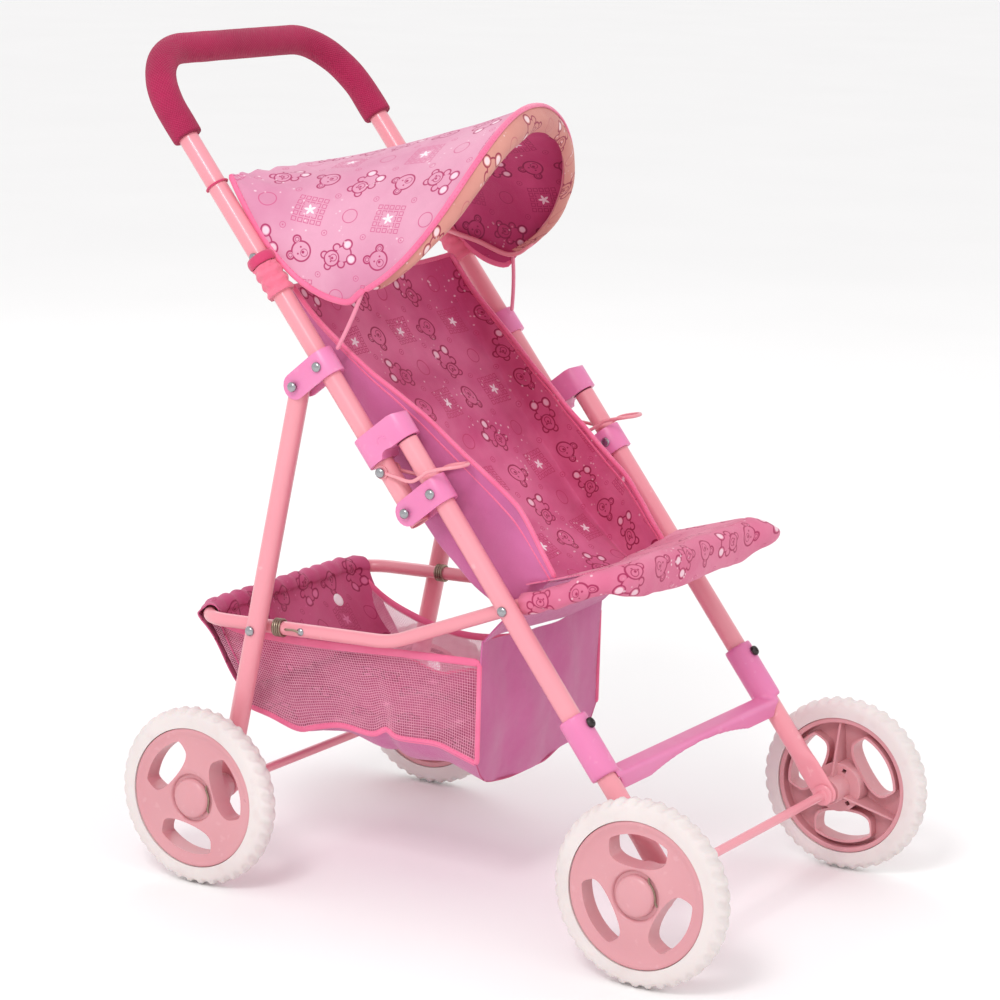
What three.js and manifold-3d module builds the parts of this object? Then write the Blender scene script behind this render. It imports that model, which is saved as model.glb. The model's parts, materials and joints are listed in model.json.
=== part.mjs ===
// Doll stroller with a folding tube frame, four plain wheels, a hooped canopy,
// a sling seat with a calf rest, and a mesh basket.
// Millimetres. +Z is up, -Y is the way it travels, +X is its own left side.
// The origin is on the floor, under the middle of the bounding box.

import * as THREE from 'three';
import { mergeVertices } from 'three/addons/utils/BufferGeometryUtils.js';
import Module from 'manifold-3d';

const wasm = await Module();
wasm.setup();

// ---------------------------------------------------------------- driving dimensions

const TUBE_RADIUS = 6.5;
const SEAT_BAR_RADIUS = 4.5;
const GRIP_RADIUS = 10;
const WIRE_RADIUS = 1.2;
const HOOP_RADIUS = 1.7;
const ROD_RADIUS = 3;

const SIDE_X = 108.5;
const SEAT_BAR_X = 97;
const WHEEL_X = 139.5;

const WHEEL_RADIUS = 59;
const HUB_RADIUS = 46;
const FRONT_AXLE_Y = -178.4;
const REAR_AXLE_Y = 150.1;

const FOLD_PIVOT = { y: 10.1, z: 261.1 };
const HANDLE_TILT = THREE.MathUtils.degToRad(38.8);
const RIVET_SPACING = 23.5;
const HANDLE_BOTTOM = -9;
const HANDLE_TOP = 347;
const HANDLE_BEND_RADIUS = 48;
const GRIP_START = 280.5;
const BAIL_PIVOT = 30;
const UPPER_BRACKET = 108.3;
const CANOPY_PIVOT = 189.6;

const SEAT_PIVOT_DOWN = 85.1;
const FOOTREST_START = 162;
const FOOTREST_END = 204;
const LEG_TOP = -38;
const REAR_PIVOT_DOWN = 166.9;

const GAP = 0.3;
const BRACKET_WALL = 2.5;
const HOLE_RADIUS = 2.3;
const SHANK_RADIUS = 1.9;
const AXLE_RADIUS = 3;
const CLOTH = 2;

// ---------------------------------------------------------------- colours

const paint = (color, roughness, metalness = 0) =>
  new THREE.MeshStandardMaterial({ color, roughness, metalness });

const tubePink = paint(0xf0a8b4, 0.35, 0.1);
const plasticPink = paint(0xec8fc4, 0.4);
const gripRaspberry = paint(0xc22468, 0.85);
const hubPink = paint(0xd9929f, 0.45);
const tyreWhite = paint(0xece6e2, 0.7);
const rivetSteel = paint(0xc9c9cc, 0.25, 1);
const printPink = paint(0xe57aab, 0.8);
const canopyPink = paint(0xeaa3c0, 0.8);
const basketPink = paint(0xdb7fb0, 0.85);
const cordPink = paint(0xf295b8, 0.8);

// ---------------------------------------------------------------- places in the side view

// A point of the side view, measured along the handle from the fold pivot, and behind it.
function onHandle(along, behind = 0) {
  return {
    y: FOLD_PIVOT.y + along * Math.sin(HANDLE_TILT) + behind * Math.cos(HANDLE_TILT),
    z: FOLD_PIVOT.z + along * Math.cos(HANDLE_TILT) - behind * Math.sin(HANDLE_TILT),
  };
}

const frontAxle = { y: FRONT_AXLE_Y, z: WHEEL_RADIUS };
const rearAxle = { y: REAR_AXLE_Y, z: WHEEL_RADIUS };
const legRivet = onHandle(0, -RIVET_SPACING);
const rearLegPivot = onHandle(UPPER_BRACKET, RIVET_SPACING);

// A point at a distance from one point of the side view towards another.
function towards(from, to, distance, sideways = 0) {
  const length = Math.hypot(to.y - from.y, to.z - from.z);
  const dy = (to.y - from.y) / length;
  const dz = (to.z - from.z) / length;
  return {
    y: from.y + dy * distance + dz * sideways,
    z: from.z + dz * distance - dy * sideways,
  };
}

const onLeg = (down, front = 0) => towards(legRivet, frontAxle, down, front);
const onRearLeg = (down) => towards(rearLegPivot, rearAxle, down);

const seatPivot = onLeg(SEAT_PIVOT_DOWN);
const rearSeatPivot = onRearLeg(REAR_PIVOT_DOWN);

const at = (x, point) => new THREE.Vector3(x, point.y, point.z);
const alongHandle = new THREE.Vector3(0, Math.sin(HANDLE_TILT), Math.cos(HANDLE_TILT));
const behindHandle = new THREE.Vector3(0, Math.cos(HANDLE_TILT), -Math.sin(HANDLE_TILT));
const sideways = new THREE.Vector3(1, 0, 0);

// ---------------------------------------------------------------- solids

const stroller = new THREE.Group();

function add(name, geometry, material) {
  const mesh = new THREE.Mesh(geometry, material);
  mesh.name = name;
  stroller.add(mesh);
}

function solid(geometry) {
  const plain = geometry.clone();
  plain.deleteAttribute('normal');
  plain.deleteAttribute('uv');
  const merged = mergeVertices(plain, 1e-4);
  const vertProperties = Float32Array.from(merged.attributes.position.array);
  const triVerts = Uint32Array.from(merged.index.array);
  return new wasm.Manifold(new wasm.Mesh({ numProp: 3, vertProperties, triVerts }));
}

function geometryOf(manifold) {
  const mesh = manifold.getMesh();
  const geometry = new THREE.BufferGeometry();
  const positions = new Float32Array(mesh.vertProperties);
  geometry.setAttribute('position', new THREE.BufferAttribute(positions, 3));
  geometry.setIndex(new THREE.BufferAttribute(new Uint32Array(mesh.triVerts), 1));
  geometry.computeVertexNormals();
  return geometry;
}

function cut(geometry, tools) {
  return geometryOf(tools.reduce((rest, tool) => rest.subtract(solid(tool)), solid(geometry)));
}

function join(geometries) {
  return geometryOf(geometries.map(solid).reduce((sum, next) => sum.add(next)));
}

function common(first, second) {
  return geometryOf(solid(first).intersect(solid(second)));
}

// A round bar between two points.
function rod(from, to, radius, sides = 12) {
  const direction = to.clone().sub(from);
  const bar = new THREE.CylinderGeometry(radius, radius, direction.length(), sides);
  const turn = new THREE.Quaternion().setFromUnitVectors(
    new THREE.Vector3(0, 1, 0),
    direction.clone().normalize(),
  );
  bar.applyQuaternion(turn);
  const middle = from.clone().add(to).multiplyScalar(0.5);
  return bar.translate(middle.x, middle.y, middle.z);
}

// A round bar across the stroller.
function crossPin(radius, fromX, toX, point, sides = 10) {
  return rod(at(fromX, point), at(toX, point), radius, sides);
}

// A hole for a rivet, through a piece whose middle is at x.
const rivetHole = (x, point, reach = 14) => crossPin(HOLE_RADIUS, x - reach, x + reach, point);

// A tube bent along a curve.
function bentTube(curve, radius, steps, sides, bore = 0) {
  const section = new THREE.Shape();
  section.absarc(0, 0, radius, 0, Math.PI * 2);
  if (bore > 0) {
    const hole = new THREE.Path();
    hole.absarc(0, 0, bore, 0, Math.PI * 2);
    section.holes.push(hole);
  }
  const options = { steps, extrudePath: curve, curveSegments: sides / 2 };
  return new THREE.ExtrudeGeometry(section, options);
}

// A polyline through points, its corners rounded by arcs of the radii given with the points.
function roundedPath(corners) {
  const path = new THREE.CurvePath();
  let last = corners[0].point;
  for (let i = 1; i < corners.length - 1; i += 1) {
    const corner = corners[i].point;
    const before = corners[i - 1].point.clone().sub(corner).normalize();
    const after = corners[i + 1].point.clone().sub(corner).normalize();
    const trim = corners[i].radius / Math.tan(before.angleTo(after) / 2);
    const start = corner.clone().addScaledVector(before, trim);
    const end = corner.clone().addScaledVector(after, trim);
    path.add(new THREE.LineCurve3(last, start));
    path.add(new THREE.QuadraticBezierCurve3(start, corner, end));
    last = end;
  }
  path.add(new THREE.LineCurve3(last, corners[corners.length - 1].point));
  return path;
}

// Extrudes an outline of the side view across the stroller.
function plate(shape, fromX, toX) {
  const options = { depth: toX - fromX, bevelEnabled: false, curveSegments: 5 };
  const geometry = new THREE.ExtrudeGeometry(shape, options);
  const basis = new THREE.Matrix4().makeBasis(
    new THREE.Vector3(0, 1, 0),
    new THREE.Vector3(0, 0, 1),
    sideways,
  );
  return geometry.applyMatrix4(basis).translate(fromX, 0, 0);
}

const outline = (points) => new THREE.Shape(points.map(([y, z]) => new THREE.Vector2(y, z)));

// A sheet of cloth as a closed solid: a grid of points, and the same grid moved inwards.
function clothShell(grid, thickness) {
  const rows = grid.length;
  const columns = grid[0].length;
  const surface = new THREE.BufferGeometry();
  surface.setFromPoints(grid.flat());
  const faces = [];
  const index = (row, column) => row * columns + column;
  for (let row = 0; row < rows - 1; row += 1) {
    for (let column = 0; column < columns - 1; column += 1) {
      const a = index(row, column);
      const b = index(row, column + 1);
      const c = index(row + 1, column + 1);
      const d = index(row + 1, column);
      faces.push(a, b, c, a, c, d);
    }
  }
  surface.setIndex(faces);
  surface.computeVertexNormals();
  const outer = surface.attributes.position;
  const normals = surface.attributes.normal;
  const points = grid.flat();
  const inner = points.map((point, i) => {
    const normal = new THREE.Vector3().fromBufferAttribute(normals, i);
    return point.clone().addScaledVector(normal, -thickness);
  });
  const count = outer.count;
  const all = [...faces];
  for (let i = 0; i < faces.length; i += 3) {
    all.push(count + faces[i], count + faces[i + 2], count + faces[i + 1]);
  }
  const rim = [];
  for (let column = 0; column < columns - 1; column += 1) {
    rim.push([index(0, column + 1), index(0, column)]);
    rim.push([index(rows - 1, column), index(rows - 1, column + 1)]);
  }
  for (let row = 0; row < rows - 1; row += 1) {
    rim.push([index(row, 0), index(row + 1, 0)]);
    rim.push([index(row + 1, columns - 1), index(row, columns - 1)]);
  }
  for (const [to, from] of rim) {
    all.push(from, count + from, count + to, from, count + to, to);
  }
  const closed = new THREE.BufferGeometry();
  closed.setFromPoints([...points, ...inner]);
  closed.setIndex(all);
  closed.computeVertexNormals();
  return closed;
}

const mix = THREE.MathUtils.lerp;
const sides = [
  { name: 'left', sign: 1 },
  { name: 'right', sign: -1 },
];

// ---------------------------------------------------------------- handle and grip

// The handle's path over the top, from a distance along it and back to the same distance.
function handlePath(start) {
  const top = onHandle(HANDLE_TOP);
  return roundedPath([
    { point: at(SIDE_X, onHandle(start)) },
    { point: at(SIDE_X, top), radius: HANDLE_BEND_RADIUS },
    { point: at(-SIDE_X, top), radius: HANDLE_BEND_RADIUS },
    { point: at(-SIDE_X, onHandle(start)) },
  ]);
}

const handleHoles = sides.flatMap(({ sign }) =>
  [0, BAIL_PIVOT, UPPER_BRACKET, CANOPY_PIVOT].map((along) =>
    rivetHole(sign * SIDE_X, onHandle(along)),
  ),
);
const handleBar = bentTube(handlePath(HANDLE_BOTTOM), TUBE_RADIUS, 46, 12);
add('handle_tube', cut(handleBar, handleHoles), tubePink);

const gripBore = TUBE_RADIUS + 1.4;
add('foam_grip', bentTube(handlePath(GRIP_START), GRIP_RADIUS, 28, 12, gripBore), gripRaspberry);

// ---------------------------------------------------------------- legs and cross rods

const TAB_THICKNESS = 5;
const TAB_LENGTH = 26;

// A leg: a round tube whose lower end is pressed flat round the axle.
function leg(x, top, bottom, holes) {
  const flat = { y: bottom.y, z: bottom.z };
  const tubeEnd = towards(bottom, top, TAB_LENGTH);
  const tabTop = towards(bottom, top, TAB_LENGTH + 6);
  const tube = rod(at(x, top), at(x, tubeEnd), TUBE_RADIUS);
  const half = TAB_THICKNESS / 2;
  const edge = TUBE_RADIUS + 1.5;
  const tab = outline([
    [towards(tabTop, flat, 0, edge).y, towards(tabTop, flat, 0, edge).z],
    [towards(flat, tabTop, 0, -edge).y, towards(flat, tabTop, 0, -edge).z],
    [towards(flat, tabTop, 0, edge).y, towards(flat, tabTop, 0, edge).z],
    [towards(tabTop, flat, 0, -edge).y, towards(tabTop, flat, 0, -edge).z],
  ]);
  const round = crossPin(edge, x - half, x + half, flat, 16);
  const body = join([tube, plate(tab, x - half, x + half), round]);
  const axleHole = crossPin(AXLE_RADIUS + GAP, x - 10, x + 10, flat, 12);
  return cut(body, [axleHole, ...holes.map((point) => rivetHole(x, point))]);
}

for (const { name, sign } of sides) {
  const x = sign * SIDE_X;
  const frontHoles = [legRivet, seatPivot];
  add(`front_leg_${name}`, leg(x, onLeg(LEG_TOP), frontAxle, frontHoles), tubePink);
  const rearHoles = [rearLegPivot, rearSeatPivot];
  add(`rear_leg_${name}`, leg(x, onRearLeg(-7), rearAxle, rearHoles), tubePink);
}

// A thin rod between two legs, with a flat round flange against each leg's tab.
function crossRod(point) {
  const flangeOuter = SIDE_X - TAB_THICKNESS / 2 - GAP;
  const flangeInner = flangeOuter - 2;
  return join([
    crossPin(ROD_RADIUS, -flangeInner - 1, flangeInner + 1, point),
    crossPin(7, flangeInner, flangeOuter, point, 14),
    crossPin(7, -flangeOuter, -flangeInner, point, 14),
  ]);
}

add('front_cross_rod', crossRod(frontAxle), tubePink);
add('rear_cross_rod', crossRod(rearAxle), tubePink);

// ---------------------------------------------------------------- seat frame

const SEAT_FRAME_REAR = 58;
const SEAT_FRAME_BEND_Y = 32;
const SEAT_FRAME_FRONT = 73;
const FRAME_JOINT = 0.5;

const seatFrameBend = { y: SEAT_FRAME_BEND_Y, z: rearSeatPivot.z + 4 };
const seatFrameRear = towards(rearSeatPivot, seatFrameBend, -SEAT_FRAME_REAR);
const seatFrameFront = towards(seatPivot, seatFrameBend, -SEAT_FRAME_FRONT);

// One tube bent into a loop. Its two ends meet in the middle of the rear bar.
const seatFramePath = roundedPath([
  { point: at(FRAME_JOINT, seatFrameRear) },
  { point: at(SEAT_BAR_X, seatFrameRear), radius: 26 },
  { point: at(SEAT_BAR_X, seatFrameBend), radius: 60 },
  { point: at(SEAT_BAR_X, seatFrameFront), radius: 24 },
  { point: at(-SEAT_BAR_X, seatFrameFront), radius: 24 },
  { point: at(-SEAT_BAR_X, seatFrameBend), radius: 60 },
  { point: at(-SEAT_BAR_X, seatFrameRear), radius: 26 },
  { point: at(-FRAME_JOINT, seatFrameRear) },
]);
const seatFrameHoles = sides.map(({ sign }) => rivetHole(sign * SEAT_BAR_X, seatPivot, 8));
const seatFrameBar = bentTube(seatFramePath, SEAT_BAR_RADIUS, 70, 8);
add('seat_frame', cut(seatFrameBar, seatFrameHoles), tubePink);

// A spring collar on each arm of the seat frame, just in front of the rear leg.
for (const { name, sign } of sides) {
  const place = towards(rearSeatPivot, seatFrameBend, 11);
  const bore = SEAT_BAR_RADIUS + GAP;
  const profile = [[bore, -3.5], [7.4, -3.5], [7.4, 3.5], [bore, 3.5], [bore, -3.5]];
  const ring = new THREE.LatheGeometry(profile.map(([r, y]) => new THREE.Vector2(r, y)), 14);
  ring.translate(sign * SEAT_BAR_X, place.y, place.z);
  add(`spring_collar_${name}`, ring, rivetSteel);
}

// ---------------------------------------------------------------- brackets

const CHEEK_OUTER = TUBE_RADIUS + GAP + BRACKET_WALL;
const CHEEK_INNER = TUBE_RADIUS + GAP;
const BRACKET_HALF_HEIGHT = 8.5;

// Turns a shape drawn behind and across the handle into a solid that runs along it.
function alongSolid(shape, from, to, x, origin) {
  const options = { depth: to - from, bevelEnabled: false, curveSegments: 5 };
  const geometry = new THREE.ExtrudeGeometry(shape, options).translate(0, 0, from);
  const basis = new THREE.Matrix4().makeBasis(behindHandle, sideways.clone().negate(), alongHandle);
  basis.setPosition(x, origin.y, origin.z);
  return geometry.applyMatrix4(basis);
}

// Turns a shape drawn behind and along the handle into a solid that runs across.
function acrossSolid(shape, half, x, origin) {
  const options = { depth: half * 2, bevelEnabled: false, curveSegments: 5 };
  const geometry = new THREE.ExtrudeGeometry(shape, options).translate(0, 0, -half);
  const basis = new THREE.Matrix4().makeBasis(behindHandle, alongHandle, sideways);
  basis.setPosition(x, origin.y, origin.z);
  return geometry.applyMatrix4(basis);
}

// A plastic saddle that wraps one tube and holds the next tube between its two cheeks.
function saddleBracket(x, wrappedTube) {
  const reach = RIVET_SPACING + BRACKET_HALF_HEIGHT;
  const channel = new THREE.Shape();
  channel.moveTo(reach, CHEEK_OUTER);
  channel.absarc(0, 0, CHEEK_OUTER, Math.PI / 2, Math.PI * 1.5, false);
  channel.lineTo(reach, -CHEEK_OUTER);
  channel.lineTo(reach, -CHEEK_INNER);
  channel.absarc(0, 0, CHEEK_INNER, Math.PI * 1.5, Math.PI / 2, true);
  channel.lineTo(reach, CHEEK_INNER);
  const tall = BRACKET_HALF_HEIGHT;
  const body = alongSolid(channel, -tall, tall, x, wrappedTube);
  const profile = new THREE.Shape();
  profile.moveTo(-CHEEK_OUTER - 1, tall);
  profile.lineTo(-CHEEK_OUTER - 1, -tall);
  profile.absarc(RIVET_SPACING, 0, tall, -Math.PI / 2, Math.PI / 2, false);
  const rounded = common(body, acrossSolid(profile, CHEEK_OUTER + 1, x, wrappedTube));
  const second = {
    y: wrappedTube.y + RIVET_SPACING * behindHandle.y,
    z: wrappedTube.z + RIVET_SPACING * behindHandle.z,
  };
  return cut(rounded, [rivetHole(x, wrappedTube), rivetHole(x, second)]);
}

for (const { name, sign } of sides) {
  const x = sign * SIDE_X;
  add(`upper_bracket_${name}`, saddleBracket(x, onHandle(UPPER_BRACKET)), plasticPink);
  add(`lower_bracket_${name}`, saddleBracket(x, legRivet), plasticPink);
}

// ---------------------------------------------------------------- locks

const SLEEVE_BOTTOM = 36;
const SLEEVE_TOP = 56;
const HOOD_BOTTOM = 38.5;
const SLEEVE_WALL = 2.6;

// A sleeve that slides on the handle tube, with a hood that caps the top of the front leg.
function lockSleeve(x) {
  const outer = TUBE_RADIUS + GAP + SLEEVE_WALL;
  const bore = TUBE_RADIUS + GAP;
  const stadium = new THREE.Shape();
  stadium.absarc(0, 0, outer, -Math.PI / 2, Math.PI / 2, false);
  stadium.absarc(-RIVET_SPACING, 0, outer, Math.PI / 2, Math.PI * 1.5, false);
  const block = alongSolid(stadium, SLEEVE_BOTTOM, SLEEVE_TOP, x, FOLD_PIVOT);
  const front = -RIVET_SPACING - outer - 1;
  const profile = new THREE.Shape();
  profile.moveTo(outer + 1, SLEEVE_BOTTOM);
  profile.lineTo(outer + 1, SLEEVE_TOP - 2);
  profile.quadraticCurveTo(outer, SLEEVE_TOP, outer - 3, SLEEVE_TOP);
  profile.lineTo(front + 9, SLEEVE_TOP);
  profile.quadraticCurveTo(front, SLEEVE_TOP, front, SLEEVE_TOP - 7);
  profile.lineTo(front, HOOD_BOTTOM);
  profile.lineTo(-RIVET_SPACING + bore, HOOD_BOTTOM);
  profile.quadraticCurveTo(-bore - 2, HOOD_BOTTOM + 3, -bore, SLEEVE_BOTTOM);
  const body = common(block, acrossSolid(profile, outer + 1, x, FOLD_PIVOT));
  const tubeBore = rod(at(x, onHandle(30)), at(x, onHandle(60)), bore, 16);
  const hoodTop = SLEEVE_TOP - SLEEVE_WALL;
  const inHood = (along) => at(x, onHandle(along, -RIVET_SPACING));
  return cut(body, [tubeBore, rod(inHood(30), inHood(hoodTop), bore + 0.3, 16)]);
}

// A wire bail pinned to the handle tube, closed in front of the leg.
function safetyBail(x) {
  const armX = CHEEK_OUTER + WIRE_RADIUS + 0.5;
  const eyeX = TUBE_RADIUS + GAP + WIRE_RADIUS;
  const route = [
    [BAIL_PIVOT, 0, eyeX],
    [22, -8, eyeX + 0.6],
    [13, -18, armX],
    [11.5, -32, armX],
    [6, -45, armX - 1],
    [3.5, -49.5, armX - 6],
  ];
  const half = (sign) => route.map(([along, behind, out]) => {
    return at(x + sign * out, onHandle(along, behind));
  });
  const middle = at(x, onHandle(3, -50.5));
  const curve = new THREE.CatmullRomCurve3([...half(1), middle, ...half(-1).reverse()]);
  const eyes = [1, -1].map((sign) => {
    const inside = x + sign * (TUBE_RADIUS + GAP);
    const outside = x + sign * (TUBE_RADIUS + GAP + 1.4);
    return crossPin(4.2, inside, outside, onHandle(BAIL_PIVOT), 12);
  });
  const wire = join([bentTube(curve, WIRE_RADIUS, 26, 6), ...eyes]);
  return cut(wire, [rivetHole(x, onHandle(BAIL_PIVOT))]);
}

for (const { name, sign } of sides) {
  add(`lock_sleeve_${name}`, lockSleeve(sign * SIDE_X), plasticPink);
  add(`safety_bail_${name}`, safetyBail(sign * SIDE_X), tubePink);
}

// ---------------------------------------------------------------- footrest

const CLAMP_RADIUS = 9.6;

// One moulding: a clamp round each front leg, and an angled tread between them.
function footrest() {
  const tread = onLeg(FOOTREST_END - 2, 3);
  const lip = 2.6;
  const depth = 15;
  const drop = 12;
  const section = outline([
    [tread.y - depth / 2, tread.z],
    [tread.y - depth / 2, tread.z - drop],
    [tread.y - depth / 2 + lip, tread.z - drop],
    [tread.y - depth / 2 + lip, tread.z - lip],
    [tread.y + depth / 2, tread.z - lip],
    [tread.y + depth / 2, tread.z],
  ]);
  const bar = plate(section, -SIDE_X, SIDE_X);
  const arch = new THREE.Shape();
  arch.moveTo(-70, -20);
  arch.lineTo(70, -20);
  arch.lineTo(70, -drop - 1);
  arch.quadraticCurveTo(0, 2.5, -70, -drop - 1);
  const scoop = new THREE.ExtrudeGeometry(arch, { depth: 40, bevelEnabled: false });
  scoop.rotateX(Math.PI / 2).translate(0, tread.y + 20, tread.z);
  const clampEnds = [onLeg(FOOTREST_START), onLeg(FOOTREST_END)];
  const clamps = sides.map(({ sign }) => {
    const [top, bottom] = clampEnds.map((point) => at(sign * SIDE_X, point));
    return rod(top, bottom, CLAMP_RADIUS, 14);
  });
  const bores = sides.map(({ sign }) => {
    const [top, bottom] = [-60, 60].map((down) => at(sign * SIDE_X, onLeg(FOOTREST_END + down)));
    return rod(top, bottom, TUBE_RADIUS + GAP, 12);
  });
  return cut(join([cut(bar, [scoop]), ...clamps]), bores);
}

add('footrest', footrest(), plasticPink);

// A bolt head on the front of each footrest clamp.
for (const { name, sign } of sides) {
  const foot = onLeg(FOOTREST_START + 9, CLAMP_RADIUS + GAP);
  const head = onLeg(FOOTREST_START + 9, CLAMP_RADIUS + GAP + 2);
  add(`footrest_bolt_${name}`, rod(at(sign * SIDE_X, foot), at(sign * SIDE_X, head), 3.4), rivetSteel);
}

// ---------------------------------------------------------------- rivets

// A round-headed rivet across the stroller: the head at one end, a smaller tail at the other.
function rivet(headX, tailX, point, tailed = true) {
  const direction = Math.sign(headX - tailX);
  const length = Math.abs(headX - tailX);
  const tail = tailed ? [[0, -1.6], [2.6, -1.2], [3.2, 0]] : [[0, 0]];
  const head = [[3.8, length], [3.1, length + 1.5], [0, length + 2.2]];
  const shank = [[SHANK_RADIUS, 0], [SHANK_RADIUS, length]];
  const profile = [...tail, ...shank, ...head].map(([r, y]) => new THREE.Vector2(r, y));
  const geometry = new THREE.LatheGeometry(profile, 8);
  geometry.rotateZ(-direction * Math.PI / 2);
  return geometry.translate(tailX, point.y, point.z);
}

const OUTSIDE = SIDE_X + CHEEK_OUTER + GAP;
const INSIDE = SIDE_X - CHEEK_OUTER - GAP;
const BARE_OUTSIDE = SIDE_X + TUBE_RADIUS + GAP;
const BARE_INSIDE = SIDE_X - TUBE_RADIUS - GAP;

for (const { name, sign } of sides) {
  const pinned = [
    ['upper_bracket_front_rivet', onHandle(UPPER_BRACKET), OUTSIDE, INSIDE],
    ['rear_leg_rivet', rearLegPivot, OUTSIDE, INSIDE],
    ['lower_bracket_front_rivet', legRivet, OUTSIDE, INSIDE],
    ['fold_rivet', FOLD_PIVOT, OUTSIDE, INSIDE],
    ['bail_rivet', onHandle(BAIL_PIVOT), BARE_OUTSIDE + 2.6, BARE_INSIDE - 2.6],
    ['canopy_rivet', onHandle(CANOPY_PIVOT), BARE_OUTSIDE, BARE_INSIDE - 3.8],
    ['seat_front_rivet', seatPivot, BARE_OUTSIDE, SEAT_BAR_X - SEAT_BAR_RADIUS - GAP],
  ];
  for (const [role, point, headX, tailX] of pinned) {
    add(`${role}_${name}`, rivet(sign * headX, sign * tailX, point), rivetSteel);
  }
  const shortTail = SIDE_X - TUBE_RADIUS + 0.4;
  const rear = rivet(sign * BARE_OUTSIDE, sign * shortTail, rearSeatPivot, false);
  add(`seat_rear_rivet_${name}`, rear, rivetSteel);
}

// ---------------------------------------------------------------- wheels

const TYRE_SEGMENTS = 28;
const TREAD_CORNER = WHEEL_RADIUS / Math.cos(Math.PI / TYRE_SEGMENTS);
const TYRE_PROFILE = [
  [46.6, -7.2], [52, -8.2], [56.6, -7], [TREAD_CORNER, -3.2],
  [TREAD_CORNER, 3.2], [56.6, 7], [52, 8.2], [46.6, 7.2],
];
const BOSS_INNER = -27.8;
const HUB_PROFILE = [
  [AXLE_RADIUS + GAP, BOSS_INNER], [8.5, BOSS_INNER], [11, 1.5], [42.5, 1.5], [42.5, -6.8],
  [HUB_RADIUS, -6.8], [HUB_RADIUS, 7.2], [42, 7.2], [40, 5.2], [15, 6.4], [AXLE_RADIUS + GAP, 6.4],
];
const CAP_RADIUS = 13;
const OPENINGS = 3;

// How far each wheel happens to be turned, in degrees.
const WHEEL_TURN = { front_right: 90, rear_right: 40, front_left: 25, rear_left: 70 };

// Turns a profile of radius and place along the axle round the axle, out being away from the middle.
// Half a segment's turn puts a flat of the outline at the bottom.
function turned(profile, segments, sign, centreX, axle) {
  const points = profile.map(([r, out]) => new THREE.Vector2(r, out));
  const geometry = new THREE.LatheGeometry(points, segments).rotateY(Math.PI / segments);
  geometry.rotateZ(-sign * Math.PI / 2);
  return geometry.translate(centreX, axle.y, axle.z);
}

// One of the hub's openings: straight towards the cap, round towards the rim.
function hubOpening() {
  const shape = new THREE.Shape();
  shape.moveTo(-13, 20);
  shape.quadraticCurveTo(-20, 20, -21, 27);
  shape.absarc(0, 0, 35.5, Math.PI * 0.69, Math.PI * 0.31, true);
  shape.lineTo(21, 27);
  shape.quadraticCurveTo(20, 20, 13, 20);
  return shape;
}

for (const { name, sign } of sides) {
  for (const [end, axle] of [['front', frontAxle], ['rear', rearAxle]]) {
    const x = sign * WHEEL_X;
    const place = `${end}_${name}`;
    const loop = (profile) => [...profile, profile[0]];
    const tyre = turned(loop(TYRE_PROFILE), TYRE_SEGMENTS, sign, x, axle);
    add(`tyre_${place}`, tyre, tyreWhite);
    const turn = THREE.MathUtils.degToRad(WHEEL_TURN[place]);
    const windows = [];
    for (let i = 0; i < OPENINGS; i += 1) {
      const options = { depth: 24, bevelEnabled: false, curveSegments: 3 };
      const window = new THREE.ExtrudeGeometry(hubOpening(), options).translate(0, 0, -12);
      window.rotateZ(turn + (i * Math.PI * 2) / OPENINGS).rotateY(Math.PI / 2);
      windows.push(window.translate(x, axle.y, axle.z));
    }
    const disc = turned(loop(HUB_PROFILE), 24, sign, x, axle);
    add(`hub_${place}`, cut(disc, windows), hubPink);
    const pinStart = SIDE_X - WHEEL_X - TAB_THICKNESS / 2 + GAP;
    const pin = [[0, pinStart], [AXLE_RADIUS, pinStart], [AXLE_RADIUS, 6.7]];
    const cap = [[CAP_RADIUS, 6.7], [CAP_RADIUS, 9], [10.5, 11.2], [5.5, 12.4], [0, 12.8]];
    add(`axle_cap_${place}`, turned([...pin, ...cap], 14, sign, x, axle), hubPink);
  }
}

// ---------------------------------------------------------------- canopy

const CANOPY_HALF_WIDTH = 108;
const canopyRear = onHandle(244, -12.5);
const canopyCorner = { y: 53.5, z: 388.5 };
const canopyControl = { y: 114, z: 384 };
const canopyApex = { y: -2, z: 507 };

// The canopy's lower edge in the side view, from the handle (0) to its front corner (1).
function canopyEdge(t) {
  const curve = new THREE.QuadraticBezierCurve(
    new THREE.Vector2(canopyRear.y, canopyRear.z),
    new THREE.Vector2(canopyControl.y, canopyControl.z),
    new THREE.Vector2(canopyCorner.y, canopyCorner.z),
  );
  return curve.getPoint(t);
}

// A point of the canopy's cloth: t runs from rear to front, turn from its left edge to its right.
function canopyPoint(t, turn, inset = 0) {
  const low = canopyEdge(t);
  const rise = Math.sin(turn);
  const lean = 1 - (1 - rise) ** 2.2;
  const top = { y: mix(canopyRear.y, canopyApex.y, t), z: mix(canopyRear.z, canopyApex.z, t) };
  return new THREE.Vector3(
    (CANOPY_HALF_WIDTH - inset) * Math.cos(turn),
    mix(low.x, top.y, lean) + inset * 0.4,
    mix(low.y, top.z - inset, rise),
  );
}

const canopyGrid = [];
for (let row = 0; row <= 7; row += 1) {
  const line = [];
  for (let column = 0; column <= 16; column += 1) {
    line.push(canopyPoint(row / 7, (column * Math.PI) / 16));
  }
  canopyGrid.push(line);
}
add('canopy_fabric', clothShell(canopyGrid, CLOTH), canopyPink);

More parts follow.
